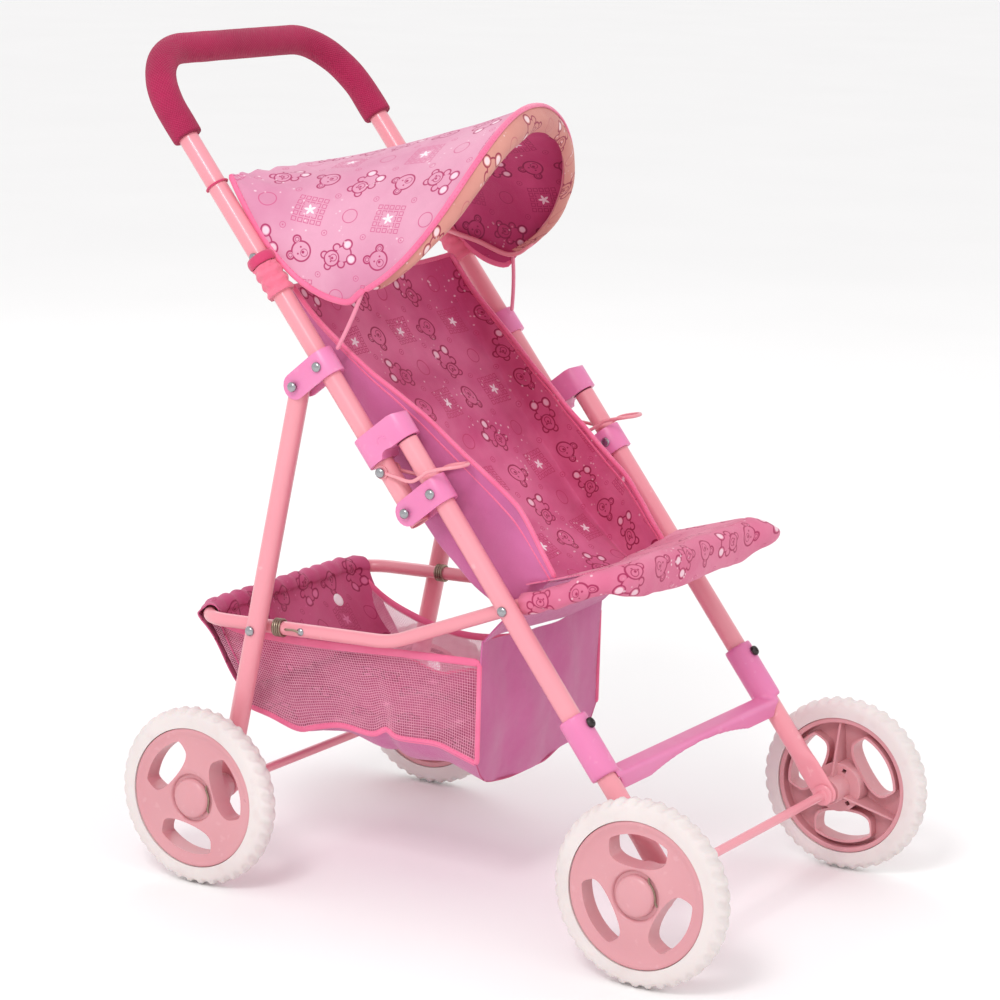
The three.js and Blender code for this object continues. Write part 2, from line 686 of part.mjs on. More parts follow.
// The wire hoop: an eye on each canopy rivet, an arm to the corner, and the arch over the front.
function canopyHoop() {
  const eyeX = SIDE_X - TUBE_RADIUS - GAP;
  const pivot = onHandle(CANOPY_PIVOT);
  const inset = 7;
  const arch = [];
  for (let step = 1; step <= 13; step += 1) {
    arch.push(canopyPoint(0.97, (step * Math.PI) / 14, inset));
  }
  const elbow = { y: canopyCorner.y + 12, z: canopyCorner.z + 6 };
  const ends = sides.map(({ sign }) => [
    at(sign * (eyeX - HOOP_RADIUS), pivot),
    at(sign * (eyeX - HOOP_RADIUS - 1), { y: mix(pivot.y, elbow.y, 0.5), z: mix(pivot.z, elbow.z, 0.5) }),
    at(sign * (eyeX - HOOP_RADIUS - 1), elbow),
  ]);
  const route = [...ends[0], ...arch, ...ends[1].reverse()];
  const wire = bentTube(new THREE.CatmullRomCurve3(route), HOOP_RADIUS, 44, 6);
  const eyes = sides.map(({ sign }) => crossPin(4.2, sign * (eyeX - 1.6), sign * eyeX, pivot, 12));
  const holes = sides.map(({ sign }) => rivetHole(sign * eyeX, pivot, 6));
  return cut(join([wire, ...eyes]), holes);
}

add('canopy_hoop', canopyHoop(), tubePink);

// ---------------------------------------------------------------- elastic cords

const CORD_RADIUS = 1.3;
for (const { name, sign } of sides) {
  const upper = at(sign * 105, { y: canopyCorner.y - 0.5, z: canopyCorner.z - 4 });
  const lower = at(sign * 105, onHandle(UPPER_BRACKET + 4, -CHEEK_OUTER - CORD_RADIUS - 0.6));
  add(`elastic_cord_${name}`, rod(upper, lower, CORD_RADIUS, 8), cordPink);
}

// ---------------------------------------------------------------- seat sling

const SEAT_HALF_WIDTH = 89;

// Stations from the top of the back to the front of the seat, in the side view:
// the cloth's middle line, and the free upper edge of the side panel.
const SEAT_STATIONS = [
  { low: onHandle(170, 7), edge: onHandle(168, 0) },
  { low: onHandle(140, 10), edge: onHandle(134, -4) },
  { low: onHandle(100, 12), edge: onHandle(92, -17) },
  { low: onHandle(55, 12), edge: onHandle(50, -33) },
  { low: onHandle(10, 11), edge: onHandle(2, -47) },
  { low: onHandle(-30, 9), edge: onHandle(-26, -56) },
  { low: { y: -38, z: 207 }, edge: onHandle(-44, -58) },
  { low: { y: -62, z: 211 }, edge: onHandle(-84, -54) },
];

const seatGrid = SEAT_STATIONS.map(({ low, edge }) => {
  const half = [
    at(SEAT_HALF_WIDTH + 4, edge),
    at(SEAT_HALF_WIDTH + 2, { y: mix(edge.y, low.y, 0.5), z: mix(edge.z, low.z, 0.5) }),
    at(SEAT_HALF_WIDTH, low),
    at(SEAT_HALF_WIDTH * 0.5, { y: low.y + 1, z: low.z - 1.5 }),
  ];
  const centre = at(0, { y: low.y + 1.5, z: low.z - 2 });
  const mirrored = half.map((point) => new THREE.Vector3(-point.x, point.y, point.z)).reverse();
  return [...half, centre, ...mirrored].reverse();
});
add('seat_sling', clothShell(seatGrid, CLOTH), printPink);

// ---------------------------------------------------------------- calf rest

const CALF_HALF_WIDTH = 100;
const calfGrid = [];
for (let row = 0; row <= 4; row += 1) {
  const t = row / 4;
  const along = towards(seatPivot, seatFrameBend, -mix(20, SEAT_FRAME_FRONT + 3, t));
  const line = [];
  for (let column = 0; column <= 8; column += 1) {
    const across = column / 4 - 1;
    const sag = 7 * (1 - across ** 2) * (1 - t);
    const point = { y: along.y, z: along.z + SEAT_BAR_RADIUS + CLOTH + 2 - sag };
    line.push(at(-across * CALF_HALF_WIDTH, point));
  }
  calfGrid.push(line);
}
add('calf_rest', clothShell(calfGrid, CLOTH), printPink);

// ---------------------------------------------------------------- basket

const BASKET_HALF_WIDTH = 87.5;
const basketOuter = outline([
  [178, 157], [150, 103], [104, 90], [40, 87], [-27, 97], [-24, 165], [60, 157],
]);
const basketInner = outline([
  [182, 165], [176.3, 158], [148.8, 105], [104, 92], [40, 89], [-25, 98.6], [-22, 172],
]);
const basketWalls = plate(basketOuter, -BASKET_HALF_WIDTH, BASKET_HALF_WIDTH);
const insideHalf = BASKET_HALF_WIDTH - CLOTH;
add('basket', cut(basketWalls, [plate(basketInner, -insideHalf, insideHalf)]), basketPink);

export default stroller;
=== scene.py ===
"""A folding doll stroller: its looks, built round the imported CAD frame.

Everything is in metres in the CAD's own frame: +Z up, -Y the way the stroller travels,
+X its own left side. Cloth patterns and places on the handle are in millimetres.
"""

import json
import math
from contextlib import contextmanager

import bmesh
import bpy
from mathutils import Matrix, Vector
from mathutils.noise import noise


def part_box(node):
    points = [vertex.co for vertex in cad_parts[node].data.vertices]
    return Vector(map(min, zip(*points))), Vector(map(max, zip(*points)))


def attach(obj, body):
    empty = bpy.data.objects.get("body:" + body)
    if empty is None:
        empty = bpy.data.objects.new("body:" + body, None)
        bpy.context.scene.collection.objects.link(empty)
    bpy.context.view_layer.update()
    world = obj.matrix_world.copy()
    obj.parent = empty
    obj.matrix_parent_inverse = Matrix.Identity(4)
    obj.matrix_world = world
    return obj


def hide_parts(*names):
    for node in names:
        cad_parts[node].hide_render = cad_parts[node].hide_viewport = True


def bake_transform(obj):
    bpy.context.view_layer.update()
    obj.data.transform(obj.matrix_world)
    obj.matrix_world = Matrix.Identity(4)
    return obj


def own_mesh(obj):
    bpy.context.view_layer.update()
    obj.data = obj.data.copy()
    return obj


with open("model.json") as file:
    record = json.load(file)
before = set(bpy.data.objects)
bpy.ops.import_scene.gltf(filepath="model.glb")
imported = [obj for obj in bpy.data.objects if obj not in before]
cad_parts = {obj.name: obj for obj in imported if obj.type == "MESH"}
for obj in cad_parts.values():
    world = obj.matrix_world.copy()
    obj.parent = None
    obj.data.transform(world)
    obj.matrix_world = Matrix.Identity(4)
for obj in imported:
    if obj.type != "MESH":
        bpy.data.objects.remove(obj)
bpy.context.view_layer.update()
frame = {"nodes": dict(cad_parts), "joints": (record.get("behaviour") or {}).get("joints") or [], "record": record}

SIDES = (("left", 1), ("right", -1))
ENDS = ("front", "rear")
MM = 0.001

# ---------------------------------------------------------------- places, from the frame

JOINTS = {joint["name"]: joint for joint in frame["joints"]}


def pivot(name):
    """A hinge's point in the side view."""
    return Vector(JOINTS[name]["pos_m"])


UP_HANDLE = Vector(JOINTS["lock_slide_left"]["axis"])
BEHIND = Vector((0, UP_HANDLE.z, -UP_HANDLE.y))
FOLD = pivot("main_fold")
REAR_LEG_PIVOT = pivot("rear_leg_fold")
SEAT_PIVOT = pivot("seat_fold")
CANOPY_PIVOT = pivot("canopy_swing")
AXLE = {end: pivot(f"{end}_wheel_left") for end in ENDS}


def centre_of(node):
    low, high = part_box(node)
    return (low + high) / 2


SIDE_X = centre_of("front_leg_left").x
WHEEL_X = centre_of("tyre_front_left").x

TUBE = 6.5 * MM
SEAT_BAR = 4.5 * MM
GRIP = 10 * MM
ROD = 3 * MM
RIVET_SPACING = 23.5 * MM
HANDLE_BEND = 48 * MM
LEG_ABOVE_RIVET = 38 * MM
SEAT_BAR_X = 97 * MM

# Places up the handle from the fold pivot, in millimetres.
HANDLE_BOTTOM = -9
UPPER_BRACKET = 108.3
GRIP_START = 280.5
HANDLE_TOP = 347


def on_handle(along, behind=0.0, x=0.0):
    """A point by its distance up the handle from the fold pivot, and behind it, in millimetres."""
    place = FOLD + UP_HANDLE * along * MM + BEHIND * behind * MM
    return Vector((x, place.y, place.z))


LEG_RIVET = FOLD - BEHIND * RIVET_SPACING


def towards(start, end, distance):
    return start + (end - start).normalized() * distance


def at(x, point):
    return Vector((x, point.y, point.z))


def mirrored(point):
    return Vector((-point.x, point.y, point.z))


def mix(a, b, t):
    return a + (b - a) * t


def smooth(t):
    """A step from 0 to 1 without corners."""
    t = min(1.0, max(0.0, t))
    return t * t * (3 - 2 * t)


def circle(count):
    """Even angles once round."""
    return [i * math.tau / count for i in range(count)]


def turned(first, second, angle):
    """The direction at an angle from the first of two directions towards the second."""
    return first * math.cos(angle) + second * math.sin(angle)


def shares(count):
    """Even steps from 0 to 1."""
    return [i / count for i in range(count + 1)]


def sideways(count):
    """Even steps from the left edge at 1 to the right edge at -1."""
    return [1 - 2 * t for t in shares(count)]


def ripple(point, size, depth):
    """A small smooth wander of a point, for creased cloth."""
    return Vector([depth * noise(point * size + Vector((shift, 0, 0))) for shift in (0, 31, 57)])



# ---------------------------------------------------------------- shader arithmetic


def srgb(red, green, blue):
    """A colour as a screen shows it, 0 to 255, in Blender's linear values."""
    return tuple(((c / 255 + 0.055) / 1.055) ** 2.4 for c in (red, green, blue)) + (1.0,)


def formula(operation):
    """A method that feeds a field, and another value if it needs one, to a maths node."""

    def method(field, *others):
        return field.shader.formula(operation, field, *others)

    return method


class Field:
    """A value that changes over the surface, so that shader arithmetic reads as formulas."""

    def __init__(self, shader, socket):
        self.shader = shader
        self.socket = socket

    __add__ = formula("ADD")
    __sub__ = formula("SUBTRACT")
    __mul__ = formula("MULTIPLY")
    __truediv__ = formula("DIVIDE")
    least = formula("MINIMUM")
    most = formula("MAXIMUM")
    size = formula("ABSOLUTE")
    floor = formula("FLOOR")
    wrap = formula("FLOORED_MODULO")
    sine = formula("SINE")
    cosine = formula("COSINE")
    angle_from = formula("ARCTAN2")

    def over(self, edge, blur):
        """0 below the edge, 1 above it, and a soft step between."""
        node = self.shader.nodes.new("ShaderNodeMapRange")
        node.interpolation_type = "SMOOTHSTEP"
        self.shader.feed(node.inputs["Value"], self)
        node.inputs["From Min"].default_value = edge - blur
        node.inputs["From Max"].default_value = edge + blur
        return Field(self.shader, node.outputs["Result"])

    def under(self, edge, blur):
        return self.over(edge, blur).flipped()

    def flipped(self):
        """1 minus the field."""
        return self.shader.formula("SUBTRACT", 1, self)


class Shader:
    """A material whose nodes are added one formula at a time."""

    def __init__(self, name, roughness, **sockets):
        self.material = bpy.data.materials.new(name)
        self.material.use_nodes = True
        self.nodes = self.material.node_tree.nodes
        self.links = self.material.node_tree.links
        self.surface = self.nodes["Principled BSDF"]
        self.surface.inputs["Roughness"].default_value = roughness
        for socket, value in sockets.items():
            self.surface.inputs[socket.replace("_", " ")].default_value = value
        self.heights = []

    def feed(self, place, value):
        if isinstance(value, Field):
            self.links.new(value.socket, place)
        else:
            place.default_value = value

    def formula(self, operation, *values):
        node = self.nodes.new("ShaderNodeMath")
        node.operation = operation
        for place, value in zip(node.inputs, values):
            self.feed(place, value)
        return Field(self, node.outputs[0])

    def coordinates(self, kind="Object"):
        return self.nodes.new("ShaderNodeTexCoord").outputs[kind]

    def cloth_place(self):
        """Distances along and across the cloth, in millimetres, from the mesh's own map."""
        split = self.nodes.new("ShaderNodeSeparateXYZ")
        self.links.new(self.coordinates("UV"), split.inputs[0])
        across = Field(self, split.outputs["X"]) * 1000
        along = Field(self, split.outputs["Y"]) * 1000
        return across, along

    def noise(self, scale, detail=3.0, kind="Object"):
        node = self.nodes.new("ShaderNodeTexNoise")
        node.inputs["Scale"].default_value = scale
        node.inputs["Detail"].default_value = detail
        self.links.new(self.coordinates(kind), node.inputs["Vector"])
        return Field(self, node.outputs["Fac"])

    def specks(self, scale, kind="Object"):
        """The distance to the nearest of many scattered points."""
        node = self.nodes.new("ShaderNodeTexVoronoi")
        node.inputs["Scale"].default_value = scale
        self.links.new(self.coordinates(kind), node.inputs["Vector"])
        return Field(self, node.outputs["Distance"])

    def distance(self, across, along, point):
        place = self.nodes.new("ShaderNodeCombineXYZ")
        self.feed(place.inputs["X"], across)
        self.feed(place.inputs["Y"], along)
        measure = self.nodes.new("ShaderNodeVectorMath")
        measure.operation = "DISTANCE"
        self.links.new(place.outputs[0], measure.inputs[0])
        measure.inputs[1].default_value = (*point, 0)
        return Field(self, measure.outputs["Value"])

    def mixed(self, share, first, second):
        node = self.nodes.new("ShaderNodeMix")
        node.data_type = "RGBA"
        self.feed(node.inputs[0], share)
        self.feed(node.inputs[6], first)
        self.feed(node.inputs[7], second)
        return Field(self, node.outputs[2])

    def colour(self, field):
        self.feed(self.surface.inputs["Base Color"], field)

    def roughness(self, field, low, high):
        self.feed(self.surface.inputs["Roughness"], field * (high - low) + low)

    def bump(self, height, depth):
        """Raises the surface by a field of 0 to 1, to a depth in metres."""
        node = self.nodes.new("ShaderNodeBump")
        node.inputs["Distance"].default_value = depth
        node.inputs["Strength"].default_value = 1
        self.feed(node.inputs["Height"], height)
        if self.heights:
            self.links.new(self.heights[-1], node.inputs["Normal"])
        self.heights.append(node.outputs["Normal"])
        self.links.new(node.outputs["Normal"], self.surface.inputs["Normal"])


# ---------------------------------------------------------------- hard materials


def powder_coat():
    paint = Shader("powder_coat", 0.3, Coat_Weight=0.35, Coat_Roughness=0.12)
    base = paint.mixed(paint.noise(9), srgb(238, 158, 168), srgb(226, 136, 150))
    rubbed = paint.noise(70, 6).over(0.69, 0.02)
    paint.colour(paint.mixed(rubbed * 0.25, base, srgb(250, 205, 208)))
    paint.roughness(paint.noise(45, 5), 0.22, 0.42)
    paint.bump(paint.noise(900, 2), 0.00004)
    return paint.material


def moulded(name, light, dark, gloss):
    plastic = Shader(name, gloss, Subsurface_Weight=0.06, Subsurface_Scale=0.004)
    base = plastic.mixed(plastic.noise(14), light, dark)
    scuffs = plastic.noise(160, 8).over(0.66, 0.03)
    plastic.colour(plastic.mixed(scuffs * 0.08, base, srgb(250, 215, 226)))
    plastic.roughness(plastic.noise(60, 5), gloss - 0.08, gloss + 0.14)
    plastic.bump(plastic.noise(1400, 2), 0.00003)
    return plastic.material


def steel(name, colour, roughness):
    metal = Shader(name, roughness, Metallic=1.0)
    tint = tuple(channel * 0.55 for channel in colour[:3]) + (1.0,)
    metal.colour(metal.mixed(metal.noise(300, 6), colour, tint))
    metal.roughness(metal.noise(500, 5), roughness, roughness + 0.25)
    metal.bump(metal.noise(1600, 3), 0.00003)
    return metal.material


def foam():
    """Dark raspberry foam with a fine knurl round and along it, its crests lighter by a painted highlight."""
    soft = Shader("grip_foam", 0.8, Sheen_Weight=0.05, Sheen_Roughness=0.4)
    around, along = soft.cloth_place()
    ribs = (along * (math.tau / 1.9)).sine() * (around * (math.tau / 1.9)).sine()
    base = soft.mixed(soft.noise(30), srgb(184, 10, 80), srgb(132, 2, 52))
    # The ribs' crests are painted lighter: a painted highlight.
    soft.colour(soft.mixed(ribs.over(0.1, 0.5) * 0.25, base, srgb(216, 56, 116)))
    soft.roughness(soft.noise(200, 4), 0.65, 0.9)
    soft.bump(ribs, 0.00022)
    soft.bump(soft.noise(1500, 3), 0.0001)
    return soft.material


def tyre_foam():
    tyre = Shader("tyre_foam", 0.62, Subsurface_Weight=0.08, Subsurface_Scale=0.004)
    base = tyre.mixed(tyre.noise(25, 4), srgb(232, 224, 222), srgb(212, 200, 198))
    dust = tyre.noise(90, 7).over(0.62, 0.08)
    tyre.colour(tyre.mixed(dust * 0.3, base, srgb(214, 196, 194)))
    tyre.roughness(tyre.noise(120, 4), 0.5, 0.75)
    tyre.bump(tyre.noise(1100, 3), 0.00006)
    return tyre.material


# ---------------------------------------------------------------- cloth

MOTIF_CELL = 29
SQUARE_PITCH = 4.3


def weave(cloth, depth=0.00006, pitch=0.8):
    """Crossing threads, in the bump and as a faint change of tone."""
    across, along = cloth.cloth_place()
    warp = (across * (math.tau / pitch)).sine()
    weft = (along * (math.tau / pitch)).sine()
    threads = warp * weft
    cloth.bump(threads, depth)
    cloth.bump(cloth.noise(60, 5), 0.0014)
    cloth.bump(cloth.noise(21, 2), 0.006)
    return threads


def outline(distance, width, blur=0.22):
    """A line of the given width where a distance is nought."""
    return distance.size().under(width, blur)


def bear_lines(cloth, across, along):
    """A seated toy bear, drawn in outline: its line and its white paws."""
    side = across.size()
    head = cloth.distance(side, along, (0, 4.6)) - 4.3
    ear = cloth.distance(side, along, (3.3, 8.2)) - 1.9
    body = cloth.distance(side, along, (0, -2.6)) - 4.6
    arm = cloth.distance(side, along, (4.9, 0.2)) - 2.0
    foot = cloth.distance(side, along, (4.4, -6.2)) - 2.7
    edge = outline(head.least(ear).least(body).least(arm).least(foot), 0.42)
    muzzle = outline(cloth.distance(side, along, (0, 3.5)) - 1.9, 0.22)
    neck = outline(head, 0.34)
    pads = outline(foot, 0.3)
    eyes = cloth.distance(side, along, (1.5, 5.6)).under(0.5, 0.2)
    nose = cloth.distance(side, along, (0, 4.2)).under(0.7, 0.2)
    line = edge.most(muzzle).most(neck).most(pads).most(eyes).most(nose)
    paws = cloth.distance(side, along, (4.4, -6.2)).under(1.8, 0.3)
    return line, paws


def face_lines(cloth, across, along):
    """A toy bear's head, drawn in outline."""
    side = across.size()
    head = cloth.distance(side, along, (0, -0.6)) - 5.6
    ear = cloth.distance(side, along, (4.8, 4.4)) - 2.2
    edge = outline(head.least(ear), 0.46)
    inner = outline(cloth.distance(side, along, (4.8, 4.4)) - 1.1, 0.2)
    muzzle = outline(cloth.distance(side, along, (0, -2.6)) - 2.1, 0.2)
    eyes = cloth.distance(side, along, (2.1, 0.6)).under(0.55, 0.2)
    nose = cloth.distance(side, along, (0, -1.8)).under(0.85, 0.2)
    return edge.most(inner).most(muzzle).most(eyes).most(nose)


def patch_lines(cloth, across, along):
    """A block of small squares with a star in the middle: the squares and the star."""
    reach = across.size().most(along.size())
    small_across = (across + SQUARE_PITCH / 2).wrap(SQUARE_PITCH) - SQUARE_PITCH / 2
    small_along = (along + SQUARE_PITCH / 2).wrap(SQUARE_PITCH) - SQUARE_PITCH / 2
    square = small_across.size().most(small_along.size()) - 1.4
    squares = outline(square, 0.3) * reach.under(SQUARE_PITCH * 2.5, 0.1)
    squares = squares * reach.over(SQUARE_PITCH * 1.1, 0.1)
    radius = cloth.distance(across, along, (0, 0))
    angle = along.angle_from(across)
    fifth = math.tau / 5
    point = ((angle + fifth / 4).wrap(fifth) - fifth / 2).size() * (2 / fifth)
    star = (radius + point * 3.0).under(4.2, 0.25)
    return squares, star


def printed(name, ground, shade, ink, faint, white=(252, 232, 240), sheen=0.12):
    """Cloth printed with toy bears, bear heads, star patches, rings and small flowers, darkened in blotches by
    painted shade.
    """
    cloth = Shader(name, 0.72, Sheen_Weight=sheen, Sheen_Roughness=0.45)
    across, along = cloth.cloth_place()
    column = (across / MOTIF_CELL).floor()
    row = (along / MOTIF_CELL).floor()
    x = across - (column + 0.5) * MOTIF_CELL
    y = along - (row + 0.5) * MOTIF_CELL
    lean = ((column * 12.9 + row * 78.2).sine() * 437.5).wrap(1) * 2.4 - 1.2
    turned_x = x * lean.cosine() - y * lean.sine()
    turned_y = x * lean.sine() + y * lean.cosine()
    odd_column = column.wrap(2)
    odd_row = row.wrap(2)
    even_column = odd_column.flipped()
    even_row = odd_row.flipped()
    bear, paws = bear_lines(cloth, turned_x / 1.25, turned_y / 1.25)
    face = face_lines(cloth, turned_x / 1.2, turned_y / 1.2)
    squares, star = patch_lines(cloth, x, y)
    ring = outline(cloth.distance(x, y, (0, 0)) - 5.2, 0.35)
    corner_x = (across + MOTIF_CELL / 2).wrap(MOTIF_CELL) - MOTIF_CELL / 2
    corner_y = (along + MOTIF_CELL / 2).wrap(MOTIF_CELL) - MOTIF_CELL / 2
    from_corner = cloth.distance(corner_x, corner_y, (0, 0))
    flower = outline(from_corner - 1.9, 0.22).most(from_corner.under(0.55, 0.2))
    bear_here = even_row * even_column
    face_here = odd_row * even_column
    patch_here = odd_row * odd_column
    strong = (bear * bear_here).most(face * face_here)
    weak = (squares * patch_here).most(ring * even_row * odd_column).most(flower)
    pale = (star * patch_here).most(paws * bear_here * 0.7)
    dots = cloth.specks(210, "UV").under(0.16, 0.05) * cloth.noise(26, 2).over(0.56, 0.05)
    # Noise mixes the ground towards the darker shade colour: uneven tone, and painted shade standing for the
    # cloth's folds.
    mottle_and_painted_shade = cloth.mixed(cloth.noise(17, 4).over(0.5, 0.2), ground, shade)
    coloured = cloth.mixed(weak * 0.9, mottle_and_painted_shade, faint)
    coloured = cloth.mixed(strong, coloured, ink)
    coloured = cloth.mixed(pale.most(dots * 0.6), coloured, srgb(*white))
    threads = weave(cloth)
    cloth.colour(cloth.mixed(threads.over(0.3, 0.6) * 0.12, coloured, faint))
    cloth.roughness(cloth.noise(90, 4), 0.6, 0.85)
    return cloth.material


def plain(name, light, dark, sheen=0.4, pitch=0.8):
    """Plain woven cloth with a soft sheen."""
    cloth = Shader(name, 0.75, Sheen_Weight=sheen, Sheen_Roughness=0.4)
    base = cloth.mixed(cloth.noise(20, 4), light, dark)
    threads = weave(cloth, 0.00007, pitch)
    cloth.colour(cloth.mixed(threads.over(0.2, 0.7) * 0.2, base, dark))
    cloth.roughness(cloth.noise(100, 4), 0.62, 0.85)
    return cloth.material


def binding(name, light, dark):
    """Ribbed tape with a row of stitches along each side."""
    tape = Shader(name, 0.6, Sheen_Weight=0.5, Sheen_Roughness=0.35)
    around, along = tape.cloth_place()
    ribs = (along * (math.tau / 0.9)).sine()
    stitch = (along * (math.tau / 3.0)).sine().over(0.1, 0.3)
    seam = outline(around - 3.0, 0.3).most(outline(around - 9.0, 0.3)) * stitch
    base = tape.mixed(tape.noise(40, 3), light, dark)
    tape.colour(tape.mixed(seam * 0.6, base, dark))
    tape.roughness(tape.noise(120, 4), 0.5, 0.75)
    tape.bump(ribs, 0.00008)
    tape.bump(seam, 0.00015)
    return tape.material


def net_thread():
    thread = Shader("net_thread", 0.65, Sheen_Weight=0.3)
    thread.colour(thread.mixed(thread.noise(200, 3), srgb(246, 190, 210), srgb(222, 136, 170)))
    thread.roughness(thread.noise(300, 3), 0.5, 0.8)
    thread.bump(thread.noise(2500, 2), 0.00004)
    return thread.material


PAINT = powder_coat()
PINK_PLASTIC = moulded("pink_plastic", srgb(234, 142, 186), srgb(220, 114, 166), 0.34)
HUB_PLASTIC = moulded("hub_plastic", srgb(218, 158, 164), srgb(204, 138, 146), 0.3)
RIVET_STEEL = steel("rivet_steel", srgb(186, 186, 190), 0.1)
WIRE_STEEL = steel("wire_steel", srgb(176, 160, 140), 0.3)
BOLT_STEEL = steel("bolt_steel", srgb(84, 78, 78), 0.3)
FOAM = foam()
TYRE = tyre_foam()
CANOPY_PRINT = printed(
    "canopy_print", srgb(224, 160, 186), srgb(210, 134, 166), srgb(172, 36, 96), srgb(204, 88, 134)
)
FACING_PRINT = printed(
    "facing_print", srgb(216, 152, 138), srgb(202, 130, 122), srgb(150, 40, 70), srgb(194, 108, 114)
)
# A darker, more saturated copy of the canopy's print: painted shade, and painted light shining through, for the
# underside of the canopy cloth and its facing.
SHADED_UNDERSIDE_PRINT = printed(
    "shaded_underside_print", srgb(214, 84, 138), srgb(188, 54, 112), srgb(134, 16, 72), srgb(164, 32, 92)
)
SEAT_PRINT = printed(
    "seat_print", srgb(226, 118, 160), srgb(198, 68, 122), srgb(150, 12, 70), srgb(190, 46, 102)
)
# Darker than the seat's print, its white ink dimmed; on the basket's rear wall it serves as painted shade.
BASKET_PRINT = printed(
    "basket_print",
    srgb(204, 92, 136),
    srgb(184, 62, 110),
    srgb(144, 20, 72),
    srgb(168, 40, 92),
    white=(226, 130, 172),
)
CALF_PRINT = printed(
    "calf_print", srgb(228, 138, 166), srgb(214, 106, 142), srgb(164, 30, 84), srgb(200, 76, 122)
)
MAUVE = plain("mauve_cloth", srgb(212, 116, 168), srgb(192, 88, 144))
BINDING = binding("rose_binding", srgb(250, 134, 172), srgb(232, 88, 138))
LOOP_CLOTH = plain("loop_cloth", srgb(250, 140, 165), srgb(226, 84, 120))
KNOB_CLOTH = plain("knob_cloth", srgb(222, 70, 118), srgb(190, 36, 88))
ELASTIC = binding("elastic", srgb(250, 160, 185), srgb(226, 118, 150))
NET = net_thread()
SNAP_PLASTIC = moulded("snap_plastic", srgb(252, 246, 246), srgb(238, 226, 230), 0.3)

# ---------------------------------------------------------------- mesh building


def finish_piece(piece, body, material, *replaced, slot=None, smooth=40):
    """Gives a piece its material, smooth shading, its body and the CAD nodes it stands for."""
    if material is not None and not piece.data.materials:
        piece.data.materials.append(material)
    if smooth:
        piece.data.shade_smooth()
        piece.data.set_sharp_from_angle(angle=math.radians(smooth))
    if body:
        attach(piece, body)
    if replaced:
        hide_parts(*replaced)
    return piece


def new_object(name, mesh):
    piece = bpy.data.objects.new(name, mesh)
    bpy.context.scene.collection.objects.link(piece)
    return piece


def lengths_along(points):
    """The distance of each point from the first, along their line."""
    distances = [0.0]
    for start, end in zip(points, points[1:]):
        distances.append(distances[-1] + (end - start).length)
    return distances


def grid(name, rows, closed=False, lay=None):
    """A sheet from rows of points. With closed, each row is a ring.

    Its map holds real lengths in metres along its rows and columns, or what lay gives for a point.
    """
    count = len(rows[0])
    wide = count if closed else count - 1
    mesh = bpy.data.meshes.new(name)
    faces = []
    for row in range(len(rows) - 1):
        for column in range(wide):
            right = (column + 1) % count
            here, above = row * count, (row + 1) * count
            faces.append((here + column, here + right, above + right, above + column))
    mesh.from_pydata([tuple(point) for row in rows for point in row], [], faces)
    middle = count // 2
    along = lengths_along([row[middle] for row in rows])
    across = []
    for row in rows:
        distances = lengths_along([*row, row[0]] if closed else row)
        start = 0 if closed else distances[middle]
        across.append([distance - start for distance in distances])
    layer = mesh.uv_layers.new(name="cloth")
    corner = 0
    for row in range(len(rows) - 1):
        for column in range(wide):
            for r, c in ((0, 0), (0, 1), (1, 1), (1, 0)):
                if lay:
                    place = lay(rows[row + r][(column + c) % count])
                else:
                    place = (across[row + r][column + c], along[row + r])
                layer.data[corner].uv = place
                corner += 1
    return new_object(name, mesh)


@contextmanager
def editing(mesh):
    """Opens a mesh for editing, and puts the result back."""
    work = bmesh.new()
    work.from_mesh(mesh)
    yield work
    work.to_mesh(mesh)
    work.free()


def fill_rings(piece, count, rows):
    """Closes the two ends of a grid of rings."""
    with editing(piece.data) as work:
        work.verts.ensure_lookup_table()
        last = (rows - 1) * count
        work.faces.new([work.verts[i] for i in reversed(range(count))])
        work.faces.new([work.verts[last + i] for i in range(count)])
        bmesh.ops.recalc_face_normals(work, faces=work.faces)


def face_out(piece):
    with editing(piece.data) as work:
        bmesh.ops.recalc_face_normals(work, faces=work.faces)


class Path:
    """A line through points, measured along its length, with a frame that doesn't twist."""

    def __init__(self, points, side=Vector((1, 0, 0))):
        self.points = [points[0]]
        for point in points[1:]:
            if (point - self.points[-1]).length > 1e-7:
                self.points.append(point)
        self.lengths = lengths_along(self.points)
        self.length = self.lengths[-1]
        count = len(self.points)
        tangents = []
        for i in range(count):
            before = self.points[max(i - 1, 0)]
            after = self.points[min(i + 1, count - 1)]
            tangents.append((after - before).normalized())
        normal = side - tangents[0] * side.dot(tangents[0])
        self.frames = []
        for tangent in tangents:
            normal = (normal - tangent * normal.dot(tangent)).normalized()
            self.frames.append((tangent, normal, tangent.cross(normal)))

    def at(self, distance):
        """The point at a distance, and the three directions of its frame."""
        i = 0
        while i < len(self.lengths) - 2 and self.lengths[i + 1] < distance:
            i += 1
        span = self.lengths[i + 1] - self.lengths[i]
        share = (distance - self.lengths[i]) / span
        point = self.points[i].lerp(self.points[i + 1], share)
        share = min(max(share, 0.0), 1.0)
        pairs = zip(self.frames[i], self.frames[i + 1])
        return point, [a.lerp(b, share).normalized() for a, b in pairs]


def sweep(name, path, rings, sides=28):
    """A solid along a path. A ring is its distance and radius, or both radii if they differ."""
    rows = []
    for distance, first, *others in rings:
        second = others[0] if others else first
        point, (_, normal, other) = path.at(distance)
        row = []
        for angle in circle(sides):
            row.append(point + normal * math.cos(angle) * first + other * math.sin(angle) * second)
        rows.append(row)
    piece = grid(name, rows, closed=True)
    fill_rings(piece, sides, len(rows))
    return piece


def steps(start, end, step):
    count = max(1, round((end - start) / step))
    return [start + (end - start) * i / count for i in range(count + 1)]


LIP = 0.4 * MM
WALL = 1 * MM


